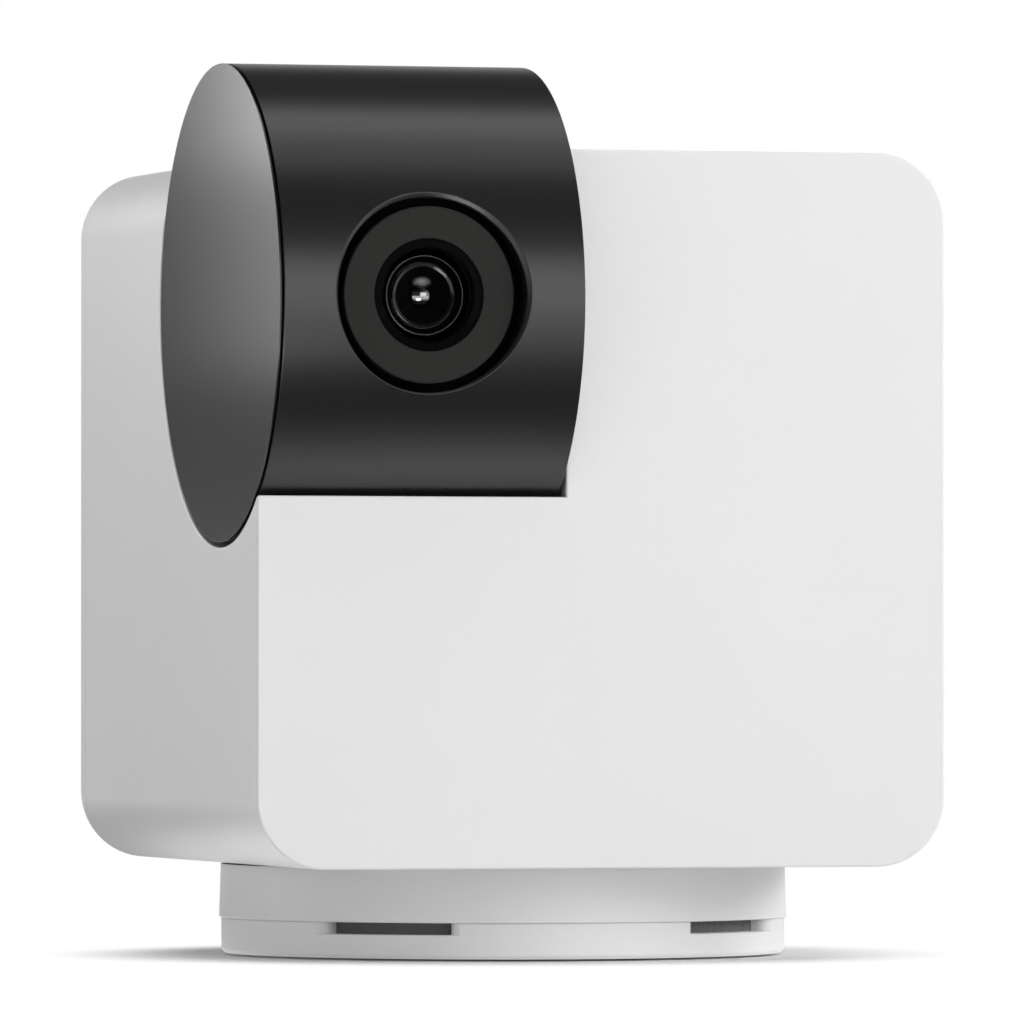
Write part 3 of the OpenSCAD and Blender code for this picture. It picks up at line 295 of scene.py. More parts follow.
def smooth(obj, sharp=CRISP):
    """Smooth shading that keeps flat faces flat and corners crisp."""
    bm = bmesh.new()
    bm.from_mesh(obj.data)
    idle = [f for f in bm.faces if f.calc_area() < SMALL and any(c.calc_angle() > STRAIGHT for c in f.loops)]
    bmesh.ops.triangulate(bm, faces=idle)
    bmesh.ops.dissolve_degenerate(bm, dist=WELD, edges=bm.edges)
    bm.to_mesh(obj.data)
    bm.free()
    for face in obj.data.polygons:
        face.use_smooth = True
    obj.data.set_sharp_from_angle(angle=sharp)
    even = obj.modifiers.new("Even normals", "WEIGHTED_NORMAL")
    even.keep_sharp = True
    freeze(obj)
    normals = [Vector(n.vector) for n in obj.data.corner_normals]
    for face in obj.data.polygons:
        for index in face.loop_indices:
            if normals[index].angle(face.normal, 0.0) > sharp:
                normals[index] = face.normal.copy()
    obj.data.normals_split_custom_set(normals)


def true_round(obj, radius, pocket):
    """Give the drum's skin and the wall of its lens pocket their exact normals."""
    wall_slack, facing = 0.016 * MM, 0.95
    mesh = obj.data
    normals = [Vector(n.vector) for n in mesh.corner_normals]
    for face in mesh.polygons:
        for index in face.loop_indices:
            place = mesh.vertices[mesh.loops[index].vertex_index].co
            out = Vector((0.0, place.y - AXIS.y, place.z - AXIS.z))
            inward = Vector((LENS_X - place.x, 0.0, LENS_Z - place.z))
            for way, reach, slack in ((out, radius, FLAT), (inward, pocket, wall_slack)):
                if abs(way.length - reach) < slack and face.normal.dot(way.normalized()) > facing:
                    normals[index] = way.normalized()
    mesh.set_sharp_from_angle(angle=FINE)
    mesh.normals_split_custom_set(normals)


def settle(obj, body, slot, *nodes, finish=None):
    """Give a finished piece the material of its slot, attach it to its body and hide the nodes it stands for."""
    obj.data.materials.clear()
    obj.data.materials.append(finishes()[finish or slot])
    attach(obj, body)
    if nodes:
        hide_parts(*nodes)


def piece(bm, name, body, slot, *nodes, sharp=CRISP, finish=None):
    """A finished piece from bm."""
    obj = as_object(bm, name)
    smooth(obj, sharp)
    settle(obj, body, slot, *nodes, finish=finish)


# Nodes of any tree

def feed(tree, socket, value):
    """Link a socket to an input, or set the input's plain value."""
    if isinstance(value, NodeSocket):
        tree.links.new(value, socket)
    else:
        socket.default_value = value


def lead(tree, sockets, **values):
    """Feed inputs by name."""
    for key, value in values.items():
        feed(tree, sockets[key.replace("_", " ")], value)


def add(tree, kind, *first, **named):
    """A node with its inputs fed in order and by name."""
    made = tree.nodes.new(kind)
    for socket, value in zip(made.inputs, first):
        feed(tree, socket, value)
    lead(tree, made.inputs, **named)
    return made


def maths(tree, operation, first, second):
    """One operation on two values or sockets."""
    made = add(tree, "ShaderNodeMath", first, second)
    made.operation = operation
    return made.outputs[0]


def vector_of(tree, *parts):
    """A vector from three values or sockets."""
    return add(tree, "ShaderNodeCombineXYZ", *parts).outputs[0]


def declare(tree, way, sockets):
    """Give a node group its named inputs or outputs."""
    for label, kind in sockets.items():
        tree.interface.new_socket(name=label, in_out=way, socket_type="NodeSocket" + kind)


# Materials

def colour4(rgb, share=1.0):
    """A colour socket's value."""
    return (rgb[0] * share, rgb[1] * share, rgb[2] * share, 1.0)


def mix_colours(tree, factor, low, high):
    """A colour mixed by a factor socket from two values or sockets."""
    mix = tree.nodes.new("ShaderNodeMix")
    mix.data_type = "RGBA"
    for index, value in ((0, factor), (6, low), (7, high)):
        feed(tree, mix.inputs[index], value)
    return mix.outputs[2]


def mix_shaders(tree, factor, low, high):
    """A node that mixes two shader nodes by a factor socket."""
    return add(tree, "ShaderNodeMixShader", factor, low.outputs[0], high.outputs[0])


def vector_maths(tree, operation, *vectors):
    """A vector operation, with its value or its vector as the result."""
    made = add(tree, "ShaderNodeVectorMath", *vectors)
    made.operation = operation
    return made.outputs["Value" if operation in ("LENGTH", "DISTANCE") else "Vector"]


def ranged(tree, value, low, high, start=0.0, end=1.0, curve="LINEAR"):
    """A value led from one range to another and held at its ends."""
    made = add(tree, "ShaderNodeMapRange", Value=value, From_Min=low, From_Max=high, To_Min=start, To_Max=end)
    made.interpolation_type = curve
    return made.outputs[0]


def grey_ramp(tree, value, stops):
    """A value led through (place, grey level) stops."""
    ramp = add(tree, "ShaderNodeValToRGB", value)
    elements = ramp.color_ramp.elements
    while len(elements) < len(stops):
        elements.new(0.5)
    for element, (at, level) in zip(elements, stops):
        element.position = at
        element.color = (level, level, level, 1.0)
    return ramp.outputs[0]


def noise(tree, place, scale, **values):
    """A noise value at a place."""
    return add(tree, "ShaderNodeTexNoise", Vector=place, Scale=scale, **values).outputs[0]


def bump(tree, height, strength, depth):
    """A normal from a height."""
    return add(tree, "ShaderNodeBump", Strength=strength, Distance=depth, Height=height).outputs[0]


def object_place(tree):
    """The place of a point in the object's own frame."""
    return tree.nodes.new("ShaderNodeTexCoord").outputs["Object"]


def new_group(name, inputs, outputs):
    """An empty shader group with named sockets: the group, what it is given and its outputs."""
    group = bpy.data.node_groups.new(name, "ShaderNodeTree")
    declare(group, "INPUT", inputs)
    declare(group, "OUTPUT", outputs)
    return group, group.nodes.new("NodeGroupInput").outputs, group.nodes.new("NodeGroupOutput").inputs


def effect(tree, name, build, **inputs):
    """The outputs of a shared effect group, which is built when it is first wanted."""
    made = tree.nodes.new("ShaderNodeGroup")
    made.node_tree = bpy.data.node_groups.get(name) or build(name)
    lead(tree, made.inputs, **inputs)
    return made.outputs


def grain_group(name):
    """Moulded grain: fine pitting, and a slow drift of tint and gloss."""
    inputs = {"Main": "Color", "Shade": "Color", "Grain": "Float", "Gloss": "Float", "Matt": "Float"}
    group, given, out = new_group(name, inputs, SURFACE)
    place = object_place(group)
    fine = noise(group, place, given["Grain"], Detail=3.0, Roughness=0.55)
    drift = ranged(group, noise(group, place, 55.0, Detail=2.0), 0.3, 0.7)
    lead(group, out, Colour=mix_colours(group, drift, given["Main"], given["Shade"]),
         Roughness=ranged(group, fine, 0.3, 0.7, given["Gloss"], given["Matt"]), Height=fine)
    return group


def brushed_group(name):
    """Brushed metal: streaks along one direction with a little tarnish."""
    inputs = {"Main": "Color", "Tarnish": "Color", "Streaks": "Vector", "Gloss": "Float", "Matt": "Float"}
    group, given, out = new_group(name, inputs, SURFACE)
    place = object_place(group)
    streaks = noise(group, vector_maths(group, "MULTIPLY", place, given["Streaks"]), 1.0, Detail=3.0)
    stains = ranged(group, noise(group, place, 240.0, Detail=3.0), 0.45, 0.8)
    lead(group, out, Colour=mix_colours(group, stains, given["Main"], given["Tarnish"]),
         Roughness=ranged(group, streaks, 0.25, 0.75, given["Gloss"], given["Matt"]), Height=streaks)
    return group


def painted_highlight_group(name):
    """Painted highlight: a pale oval above the pupil that stands in for a reflection, as wide and as flat as its
    inputs say.
    """
    group, given, out = new_group(name, {"Reach": "Float", "Squeeze": "Float"}, {"Mask": "Float"})
    parts = add(group, "ShaderNodeSeparateXYZ", lens_place(group, 1.15)).outputs
    tall = maths(group, "MULTIPLY", parts["Z"], given["Squeeze"])
    away = vector_maths(group, "LENGTH", vector_of(group, parts["X"], 0.0, tall))
    lead(group, out, Mask=ranged(group, away, 0.0, given["Reach"], 1.0, 0.0, "SMOOTHSTEP"))
    return group


def lens_place(tree, rise=0.0):
    """The place of a point across the lens axis, in millimetres, from a centre that may be raised."""
    return add(tree, "ShaderNodeMapping", Vector=object_place(tree), Scale=(1 / MM, 0.0, 1 / MM),
               Location=(-LENS_X / MM, 0.0, -LENS_Z / MM - rise)).outputs[0]


def lens_distance(tree):
    """Distance of a point from the lens axis, in millimetres."""
    return vector_maths(tree, "LENGTH", lens_place(tree))


def with_painted_highlight(tree, dark):
    """The dark colour of a lens part with a painted highlight, a pale oval above the pupil, over it."""
    mask = effect(tree, "Coating flare", painted_highlight_group, Reach=0.95, Squeeze=1.7)["Mask"]
    return mix_colours(tree, mask, dark, colour4(PAINTED_HIGHLIGHT_GREY))


def blank_material(name, **values):
    """A material with only a Principled shader on its output: its tree and the shader."""
    material = bpy.data.materials.new(name)
    material.use_nodes = True
    tree = material.node_tree
    tree.nodes.clear()
    shader = add(tree, "ShaderNodeBsdfPrincipled", **values)
    add(tree, "ShaderNodeOutputMaterial", Surface=shader.outputs[0])
    return tree, shader


def wire_up(tree, shader, made, strength, depth):
    """Lead an effect's outputs to the shader."""
    lead(tree, shader.inputs, Base_Color=made["Colour"], Roughness=made["Roughness"],
         Normal=bump(tree, made["Height"], strength, depth))


def plastic(name, main, gloss, matt, grain, shade, strength=0.12, specular=0.5):
    """Moulded plastic or rubber."""
    tree, shader = blank_material(name, Specular_IOR_Level=specular)
    made = effect(tree, "Moulded grain", grain_group, Main=colour4(main), Shade=colour4(main, shade),
                  Grain=grain, Gloss=gloss, Matt=matt)
    wire_up(tree, shader, made, strength, GRAIN_DEPTH)
    return tree, shader, made


def metal(name, main, gloss, matt, streaks):
    """Brushed or drawn metal."""
    tree, shader = blank_material(name, Metallic=1.0)
    made = effect(tree, "Brushed metal", brushed_group, Main=colour4(main), Tarnish=colour4(main, 0.75),
                  Streaks=streaks, Gloss=gloss, Matt=matt)
    wire_up(tree, shader, made, 0.15, STREAK_DEPTH)


def board_lacquer(name, main):
    """Circuit board: lacquer over tracks, with tinned pads."""
    tree, shader = blank_material(name)
    tracks = add(tree, "ShaderNodeTexVoronoi", Vector=object_place(tree), Scale=650.0)
    tracks.distance = "MANHATTAN"
    lines = ranged(tree, tracks.outputs["Distance"], 0.42, 0.5)
    pads = ranged(tree, tracks.outputs["Distance"], 0.16, 0.12)
    lacquer = mix_colours(tree, lines, colour4(main), colour4(main, 1.9))
    lead(tree, shader.inputs, Base_Color=mix_colours(tree, pads, lacquer, TIN), Metallic=pads,
         Roughness=ranged(tree, lines, 0.0, 1.0, 0.32, 0.42), Normal=bump(tree, lines, 0.3, STREAK_DEPTH))


def dome_glass(name):
    """Front lens: dark coated glass with a painted highlight, a pale oval above the pupil."""
    tree, shader = blank_material(name, Roughness=0.05, IOR=3.4)
    lead(tree, shader.inputs, Base_Color=with_painted_highlight(tree, colour4((0.001, 0.001, 0.001))))


def barrel_black(name, main):
    """Black lens parts: velvet black, with polished rims at the tube's mouth and at the baffle's, and a painted
    highlight above the pupil over their colour.
    """
    tree, shader, made = plastic(name, main, 0.45, 0.6, 5200.0, 0.8, strength=0.04, specular=0.0)
    rims = grey_ramp(tree, ranged(tree, lens_distance(tree), 2.0, 4.0), LENS_RIMS)
    lead(tree, shader.inputs, Base_Color=with_painted_highlight(tree, made["Colour"]), Coat_Weight=rims, Coat_Roughness=0.12)


def cover_window(name):
    """Clear coated window with a printed black border."""
    tree, shader = blank_material(name, Base_Color=(0.002, 0.002, 0.002, 1.0), Roughness=0.05,
                                  Specular_IOR_Level=0.01)
    lead(tree, shader.inputs, Alpha=ranged(tree, lens_distance(tree), 3.95, 4.15, 0.06, 0.96))


def woven_gauze(name, main):
    """Stiff woven gauze: wires over and under, with small dark gaps."""
    tree, shader = blank_material(name, Roughness=0.9, Specular_IOR_Level=0.2)
    slant = (0.0, 0.0, math.radians(45))
    place = add(tree, "ShaderNodeMapping", Vector=object_place(tree), Rotation=slant).outputs[0]
    threads = []
    for way in ("X", "Z"):
        wave = add(tree, "ShaderNodeTexWave", Vector=place, Scale=2400.0)
        wave.bands_direction = way
        threads.append(wave.outputs["Fac"])
    weave = maths(tree, "MAXIMUM", *threads)
    lead(tree, shader.inputs, Base_Color=mix_colours(tree, weave, colour4(main, 0.75), colour4(main)),
         Normal=bump(tree, weave, 0.5, WEAVE_DEPTH))


def finishes():
    """The procedural materials, made once: one for each slot of the record, and the gauze's."""
    look = bpy.context.scene.pet_camera_finish
    # Plastic gives colour, roughness from and to, grain, shade of the drift, bump and specular level
    rows = (
        ("white_shell", "White shell", plastic, look.white, 0.4, 0.48, 3200.0, 0.985, 0.1),
        ("black_shell", "Black drum", plastic, look.black, 0.28, 0.32, 4200.0, 0.9, 0.015),
        ("end_disc", "End disc", plastic, look.disc, 0.19, 0.23, 4200.0, 0.9, 0.03),
        ("bezel_grey", "Lens ring", plastic, look.ring, 0.5, 0.6, 5200.0, 0.92, 0.12, 0.15),
        ("black_inner", "Lens inside", barrel_black, look.inner),
        ("cover_glass", "Cover window", cover_window),
        ("lens_glass", "Front lens", dome_glass),
        ("slot_gauze", "Slot gauze", woven_gauze, look.gauze),
        ("foot_rubber", "Rubber foot", plastic, look.foot, 0.7, 0.85, 2600.0, 0.8, 0.35),
        ("soft_black", "Soft black", plastic, (0.012, 0.012, 0.012), 0.75, 0.9, 1800.0, 0.7, 0.4),
        ("gear_plastic", "Gear plastic", plastic, (0.72, 0.68, 0.56), 0.35, 0.45, 2200.0, 0.93),
        ("board_green", "Board lacquer", board_lacquer, look.board),
        ("steel", "Steel", metal, look.steel, 0.22, 0.38, (9000.0, 9000.0, 900.0)),
        ("motor_can", "Motor can", metal, (0.46, 0.48, 0.5), 0.28, 0.42, (700.0, 700.0, 9000.0)),
        ("brass", "Brass", metal, look.brass, 0.2, 0.36, (900.0, 900.0, 7000.0)),
        ("sensor_dark", "Sensor", plastic, (0.02, 0.022, 0.035), 0.12, 0.2, 5200.0, 0.6, 0.03),
        ("connector_ivory", "Connector", plastic, (0.68, 0.63, 0.5), 0.45, 0.55, 2400.0, 0.9),
        ("wire_red", "Red wire", plastic, (0.35, 0.015, 0.012), 0.35, 0.45, 2000.0, 0.8),
    )
    for _, name, make, *values in rows:
        if name not in bpy.data.materials:
            make(name, *values)
    return {row[0]: bpy.data.materials[row[1]] for row in rows}


# Geometry Nodes trees

def new_tree(name, inputs):
    """An empty geometry tree with named inputs: the tree and what it is given."""
    tree = bpy.data.node_groups.new(name, "GeometryNodeTree")
    declare(tree, "OUTPUT", {"Geometry": "Geometry"})
    declare(tree, "INPUT", {"Geometry": "Geometry", **inputs, "Material": "Material"})
    return tree, tree.nodes.new("NodeGroupInput").outputs


def raised(tree, made, height):
    """The mesh of a node, moved up by a value or socket."""
    return add(tree, "GeometryNodeTransform", Geometry=made.outputs["Mesh"],
               Translation=vector_of(tree, 0.0, 0.0, height)).outputs[0]


def combined(tree, operation, parts, whole=None):
    """The exact boolean of parts, or of a whole and its parts."""
    made = tree.nodes.new("GeometryNodeMeshBoolean")
    made.operation = operation
    made.solver = "EXACT"
    if whole:
        feed(tree, made.inputs["Mesh 1"], whole)
    for part in parts:
        feed(tree, made.inputs["Mesh 2"], part)
    return made.outputs["Mesh"]


def close_tree(tree, given, *parts):
    """End a tree with its joined parts as plain mesh in the given material."""
    whole = tree.nodes.new("GeometryNodeJoinGeometry")
    for part in parts:
        feed(tree, whole.inputs[0], part)
    real = add(tree, "GeometryNodeRealizeInstances", whole.outputs[0])
    paint = add(tree, "GeometryNodeSetMaterial", Geometry=real.outputs[0], Material=given["Material"])
    add(tree, "NodeGroupOutput", paint.outputs[0])
    return tree


def screw_tree():
    """Cross-head screws, one on each point, heads down."""
    labels = ("Head Radius", "Head Height", "Shank Radius", "Shank Length", "Cross Width", "Cross Length")
    tree, given = new_tree("Screw set", dict.fromkeys(labels, "Float"))
    wide, tall, run = given["Head Radius"], given["Head Height"], given["Shank Length"]

    def share(value, part):
        return maths(tree, "MULTIPLY", value, part)

    low, root = share(tall, 0.7), share(tall, 0.3)
    drum = add(tree, "GeometryNodeMeshCylinder", Vertices=48, Radius=wide, Depth=low)
    crown = add(tree, "GeometryNodeMeshCone", Vertices=48, Radius_Top=share(wide, 0.97),
                Radius_Bottom=share(wide, 0.8), Depth=share(root, 1.2))
    shank = add(tree, "GeometryNodeMeshCylinder", Vertices=32, Radius=given["Shank Radius"],
                Depth=maths(tree, "ADD", run, root))
    middle = share(maths(tree, "SUBTRACT", run, root), 0.5)
    places = ((drum, share(low, -0.5)), (crown, share(tall, -1.0)), (shank, middle))
    screw = combined(tree, "UNION", [raised(tree, part, height) for part, height in places])
    for across, along, deep in (("Cross Width", "Cross Length", 1.2), ("Cross Length", "Cross Width", 1.16)):
        size = vector_of(tree, given[across], given[along], share(tall, deep))
        bar = add(tree, "GeometryNodeMeshCube", Size=size)
        screw = combined(tree, "DIFFERENCE", [raised(tree, bar, share(tall, -1.05))], screw)
    spread = add(tree, "GeometryNodeInstanceOnPoints", Points=given["Geometry"], Instance=screw)
    return close_tree(tree, given, spread.outputs[0])


def thread_tree():
    """A screw thread: a six-sided ridge swept up a helix."""
    tree, given = new_tree("Thread", dict.fromkeys(("Radius", "Pitch", "Turns", "Depth"), "Float"))
    helix = add(tree, "GeometryNodeCurveSpiral", Resolution=64, Rotations=given["Turns"],
                Start_Radius=given["Radius"], End_Radius=given["Radius"],
                Height=maths(tree, "MULTIPLY", given["Pitch"], given["Turns"]))
    ridge = add(tree, "GeometryNodeCurvePrimitiveCircle", Resolution=6, Radius=given["Depth"])
    sweep = add(tree, "GeometryNodeCurveToMesh", Curve=helix.outputs[0], Profile_Curve=ridge.outputs[0],
                Fill_Caps=True)
    return close_tree(tree, given, sweep.outputs[0], given["Geometry"])


def contact_tree():
    """A row of flat contacts along X."""
    inputs = {"Count": "Int", "Spacing": "Float", "Size": "Vector", "Start": "Vector"}
    tree, given = new_tree("Contact row", inputs)
    row = add(tree, "GeometryNodeMeshLine", Count=given["Count"], Start_Location=given["Start"],
              Offset=vector_of(tree, given["Spacing"], 0.0, 0.0))
    pad = add(tree, "GeometryNodeMeshCube", Size=given["Size"])
    spread = add(tree, "GeometryNodeInstanceOnPoints", Points=row.outputs[0], Instance=pad.outputs["Mesh"])
    return close_tree(tree, given, spread.outputs[0], given["Geometry"])


def grow(obj, tree, **values):
    """Run a geometry tree on an object with its input values and keep the plain mesh."""
    made = obj.modifiers.new(tree.name, "NODES")
    made.node_group = tree
    keys = {item.name: item.identifier for item in tree.interface.items_tree if item.in_out == "INPUT"}
    for label, value in values.items():
        made[keys[label.replace("_", " ")]] = value
    freeze(obj)


def points(name, places):
    """An object whose mesh is only points."""
    bm = bmesh.new()
    for place in places:
        bm.verts.new(place)
    return as_object(bm, name)


# Tests for the edges to round

def near(value, target):
    """Whether two lengths are one."""
    return abs(value - target) < NEAR


def on_outline(co):
    """Whether a point is on the body's rounded outline, in the XZ plane."""
    corner = 6.1 * MM
    middle = (COVER_LOW.z + COVER_HIGH.z) / 2
    over_x = abs(co.x) - (COVER_HIGH.x - corner)
    over_z = abs(co.z - middle) - ((COVER_HIGH.z - COVER_LOW.z) / 2 - corner)
    return near(math.hypot(max(over_x, 0), max(over_z, 0)) + min(max(over_x, over_z), 0), corner)


def on_seam(co):
    """Whether a point is on the lip of the rear seam."""
    return near(co.y, SHELL_HIGH.y) and on_outline(co)


def drum_gap(co):
    """Distance of a point from the drum's axis."""
    return math.hypot(co.y - AXIS.y, co.z - AXIS.z)


# Operators

class PETCAM_OT_body(Operator):
    """Body shell and rear cover, with eased edges and a fine seam"""
    bl_idname = "petcam.body"
    bl_label = "Body"

    def execute(self, context):
        sizes = context.scene.pet_camera_sizes

        def on_skin(co):
            """On the front's edge or the outline, but not on the seam or the flat below."""
            front, seam, below = near(co.y, SHELL_LOW.y), near(co.y, SHELL_HIGH.y), near(co.z, COVER_LOW.z)
            return front or (on_outline(co) and not seam and not below)

        bm = skin_of("body_shell")
        soften(bm, on_skin, sizes.body_edge)
        soften(bm, on_seam, sizes.seam_edge)
        piece(bm, "body_case", "housing", "white_shell", "body_shell")
        bm = skin_of("rear_cover")
        soften(bm, lambda co: near(co.y, COVER_HIGH.y) and on_outline(co), sizes.body_edge * 2)
        soften(bm, on_seam, sizes.seam_edge)
        piece(bm, "body_back", "housing", "white_shell", "rear_cover")
        return {"FINISHED"}


class PETCAM_OT_button(Operator):
    """Setup button at the back, with an eased face"""
    bl_idname = "petcam.button"
    bl_label = "Setup button"

    def execute(self, context):
        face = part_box("setup_button")[1].y
        bm = skin_of("setup_button")
        soften(bm, lambda co: near(co.y, face), context.scene.pet_camera_sizes.body_edge)
        piece(bm, "pairing_button", "setup_button", "white_shell", "setup_button")
        return {"FINISHED"}


class PETCAM_OT_drum(Operator):
    """Drum shell with its eased lens pocket, and the flat end disc"""
    bl_idname = "petcam.drum"
    bl_label = "Drum head"

    def execute(self, context):
        sizes = context.scene.pet_camera_sizes
        radius = max(drum_gap(v.co) for v in NODES["head_shell"].data.vertices)

        def on_end(co):
            """On the drum's skin, clear of the lens pocket."""
            clear = math.hypot(co.x - LENS_X, co.z - LENS_Z) > sizes.pocket_r + MM
            return clear and abs(drum_gap(co) - radius) < FLAT

        bm = skin_of("head_shell")
        soften(bm, on_end, sizes.drum_edge)
        drum = as_object(bm, "drum_case")
        cut(drum, as_object(self.rim_cutter(radius, sizes.pocket_r, sizes.pocket_edge), "rim_cutter"))
        smooth(drum, FINE)
        true_round(drum, radius, sizes.pocket_r)
        settle(drum, "head", "black_shell", "head_shell")
        disc = turned(self.disc_outline(radius, sizes.disc_edge), ALONG_DRUM, 192)
        piece(disc, "drum_disc", "head", "end_disc", "head_end_cap", sharp=FINE)
        return {"FINISHED"}

    def disc_outline(self, radius, edge):
        """The end disc: a flat face, a lip, an undercut, and a hollow spigot that enters the drum."""
        low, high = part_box("head_end_cap")
        left, right, shell = low.x, high.x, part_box("head_shell")[0].x
        lip, undercut, ease = 0.12 * MM, 0.4 * MM, 0.1 * MM
        spigot = radius - 1.83 * MM
        hollow, web = spigot - 1.6 * MM, shell + 0.6 * MM
        return eased([
            (0.0, left, 0.0), (radius, left, edge), (radius, left + lip, 0.0),
            (radius - undercut, shell, 0.0), (spigot, shell, 0.0), (spigot, right, ease),
            (hollow, right, ease), (hollow, web, 0.0), (0.0, web, 0.0),
        ])

    def rim_cutter(self, radius, pocket, width):
        """A ring that eases the rim where the lens pocket breaks through the drum's round skin."""
        rise = LENS_Z - AXIS.z
        steps = 180
        step, most_ease = 0.012 * MM, 0.085 * MM
        inside, below, above, top = 0.3 * MM, 0.15 * MM, 0.8 * MM, 1.2 * MM
        widest = math.radians(65)

        def height(out, angle):
            """Height of the drum's skin at a distance from the lens axis."""
            return math.sqrt(radius ** 2 - (out * math.sin(angle) + rise) ** 2)

        outlines = []
        for k in range(steps):
            angle = math.tau * k / steps
            slope = width * (1 + 0.6 * math.cos(angle - widest))
            ease = min(most_ease, 0.4 * slope)
            inner = Vector((pocket + step, height(pocket, angle) - 0.8 * slope))
            outer = Vector((pocket + slope, height(pocket + slope, angle)))
            along = (outer - inner).normalized() * ease
            skin = Vector((outer.x + ease, height(outer.x + ease, angle) + 0.02 * ease))
            outlines.append([
                inner + Vector((-inside, -below)),
                inner + Vector((0.0, -below)),
                *bent(inner + Vector((0.0, -ease)), inner, inner + along),
                inner + 1.1 * along,
                outer - 1.1 * along,
                *bent(outer - along, outer, skin),
                outer + Vector((4 * ease, above)),
                inner + Vector((-inside, top)),
            ])
        return swept(outlines, OUT_OF_LENS)


class PETCAM_OT_lens(Operator):
    """Lens rings, window, tube and front lens, turned with eased edges"""
    bl_idname = "petcam.lens"
    bl_label = "Lens"

    def execute(self, context):
        edge = context.scene.pet_camera_sizes.ring_edge
        pocket_r = context.scene.pet_camera_sizes.pocket_r

        def depths(node):
            """How far a node's back and front lie ahead of the tilt axis."""
            return (AXIS.y - b.y for b in reversed(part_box(node)))

        ledge, face = depths("lens_bezel")
        window_low, window_high = depths("lens_glass")
        tube_low, tube_high = depths("lens_barrel")
        dome_low, dome_high = depths("front_lens")
        trim_low, trim_high = depths("lens_trim")
        fit, lap, wall = 0.03 * MM, 0.6 * MM, 0.35 * MM
        ring_r, window_r = (RING_HIGH.x - RING_LOW.x) / 2, 4.8 * MM
        dome_r, tube_r, cone_r = 1.1 * MM, 3.55 * MM, 2.8 * MM
        seat, mouth, sunk = window_r - lap, tube_r - wall, tube_high - 0.6 * MM
        rows = (
            ("lens_face_ring", "bezel_grey", "lens_bezel", [
                (seat, ledge, 0.0), (ring_r, ledge, 0.0), (ring_r, face, edge * 1.6),
                (window_r + fit, face, edge), (window_r + fit, window_low, 0.0), (seat, window_low, 0.0)]),
            ("lens_pocket_trim", "black_inner", "lens_trim", [
                (ring_r + fit, trim_low, 0.0), (pocket_r - fit, trim_low, 0.0),
                (pocket_r - fit, trim_high, edge), (ring_r + fit, trim_high, edge)]),
            ("lens_window", "cover_glass", "lens_glass", [
                (0.0, window_low, 0.0), (window_r, window_low, edge * 0.6), (window_r, window_high, edge * 0.6),
                (0.0, window_high, 0.0)]),
            ("lens_tube", "black_inner", "lens_barrel", [
                (0.0, tube_low, 0.0), (tube_r, tube_low, edge), (tube_r, tube_high, edge * 1.5),
                (mouth, tube_high, edge * 1.5), (mouth, sunk, 0.0),
                (cone_r, sunk, 0.0), (cone_r, tube_high - 0.3 * MM, edge),
                (dome_r + fit, dome_low + 0.1 * MM, edge * 0.5), (dome_r + fit, dome_low, 0.0),
                (0.0, dome_low, 0.0)]),
        )
        for name, slot, node, corners in rows:
            piece(turned(eased(corners), OUT_OF_LENS), name, "head", slot, node, sharp=FINE)
        curve, steps = 1.5 * MM, 24
        dome = [(0.0, dome_low), (dome_r, dome_low)]
        for k in range(steps + 1):
            angle = math.asin(dome_r / curve) * (1 - k / steps)
            dome.append((curve * math.sin(angle), dome_high - curve * (1 - math.cos(angle))))
        piece(turned(dome, OUT_OF_LENS, 96), "lens_dome", "head", "lens_glass", "front_lens", sharp=FINE)
        return {"FINISHED"}


class PETCAM_OT_base(Operator):
    """Base rings with eased edges and slots, the gauze behind the slots, and the rubber foot"""
    bl_idname = "petcam.base"
    bl_label = "Base"

    def execute(self, context):
        edge = context.scene.pet_camera_sizes.base_edge
        hidden = SHELL_LOW.z - 1.0 * MM
        for name, node in (("base_lower", "base_bottom_plate"), ("base_upper", "base_top_cover")):
            bm = skin_of(node)
            skin = max(math.hypot(v.co.x, v.co.y) for v in bm.verts) - 0.2 * MM
            soften(bm, lambda co: math.hypot(co.x, co.y) > skin and co.z < hidden, edge)
            piece(bm, name, "base", "white_shell", node)
        strips = self.strips(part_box("base_top_cover")[0].z)
        piece(strips, "slot_gauze", "base", "soft_black", finish="slot_gauze")
        low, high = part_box("foot_ring")
        outer, ease = (high.x - low.x) / 2, 0.15 * MM
        inner = outer - 5.5 * MM
        foot = eased([(inner, low.z, ease), (outer, low.z, ease), (outer, high.z, 0.0), (inner, high.z, 0.0)])
        piece(turned(foot, UPRIGHT), "base_foot", "base", "foot_rubber", "foot_ring")
        return {"FINISHED"}

    def strips(self, split):
        """Four strips of gauze on the inside of the base's wall, one behind each slot."""
        near_r, far_r = 23.12 * MM, 23.26 * MM
        low, high = split - 1.4 * MM, split + 0.4 * MM
        half_span = 16
        ends = ((near_r, low), (far_r, low), (far_r, high), (near_r, high))
        bm = bmesh.new()
        for middle in (49.4, 130.6, -49.4, -130.6):
            rows = []
            for k in range(2 * half_span + 1):
                angle = math.radians(middle - half_span + k)
                rows.append([bm.verts.new((r * math.cos(angle), r * math.sin(angle), z)) for r, z in ends])
            for here, there in zip(rows, rows[1:]):
                band(bm, here, there)
            bm.faces.new(rows[0])
            bm.faces.new(rows[-1])
        bmesh.ops.recalc_face_normals(bm, faces=bm.faces)
        return bm


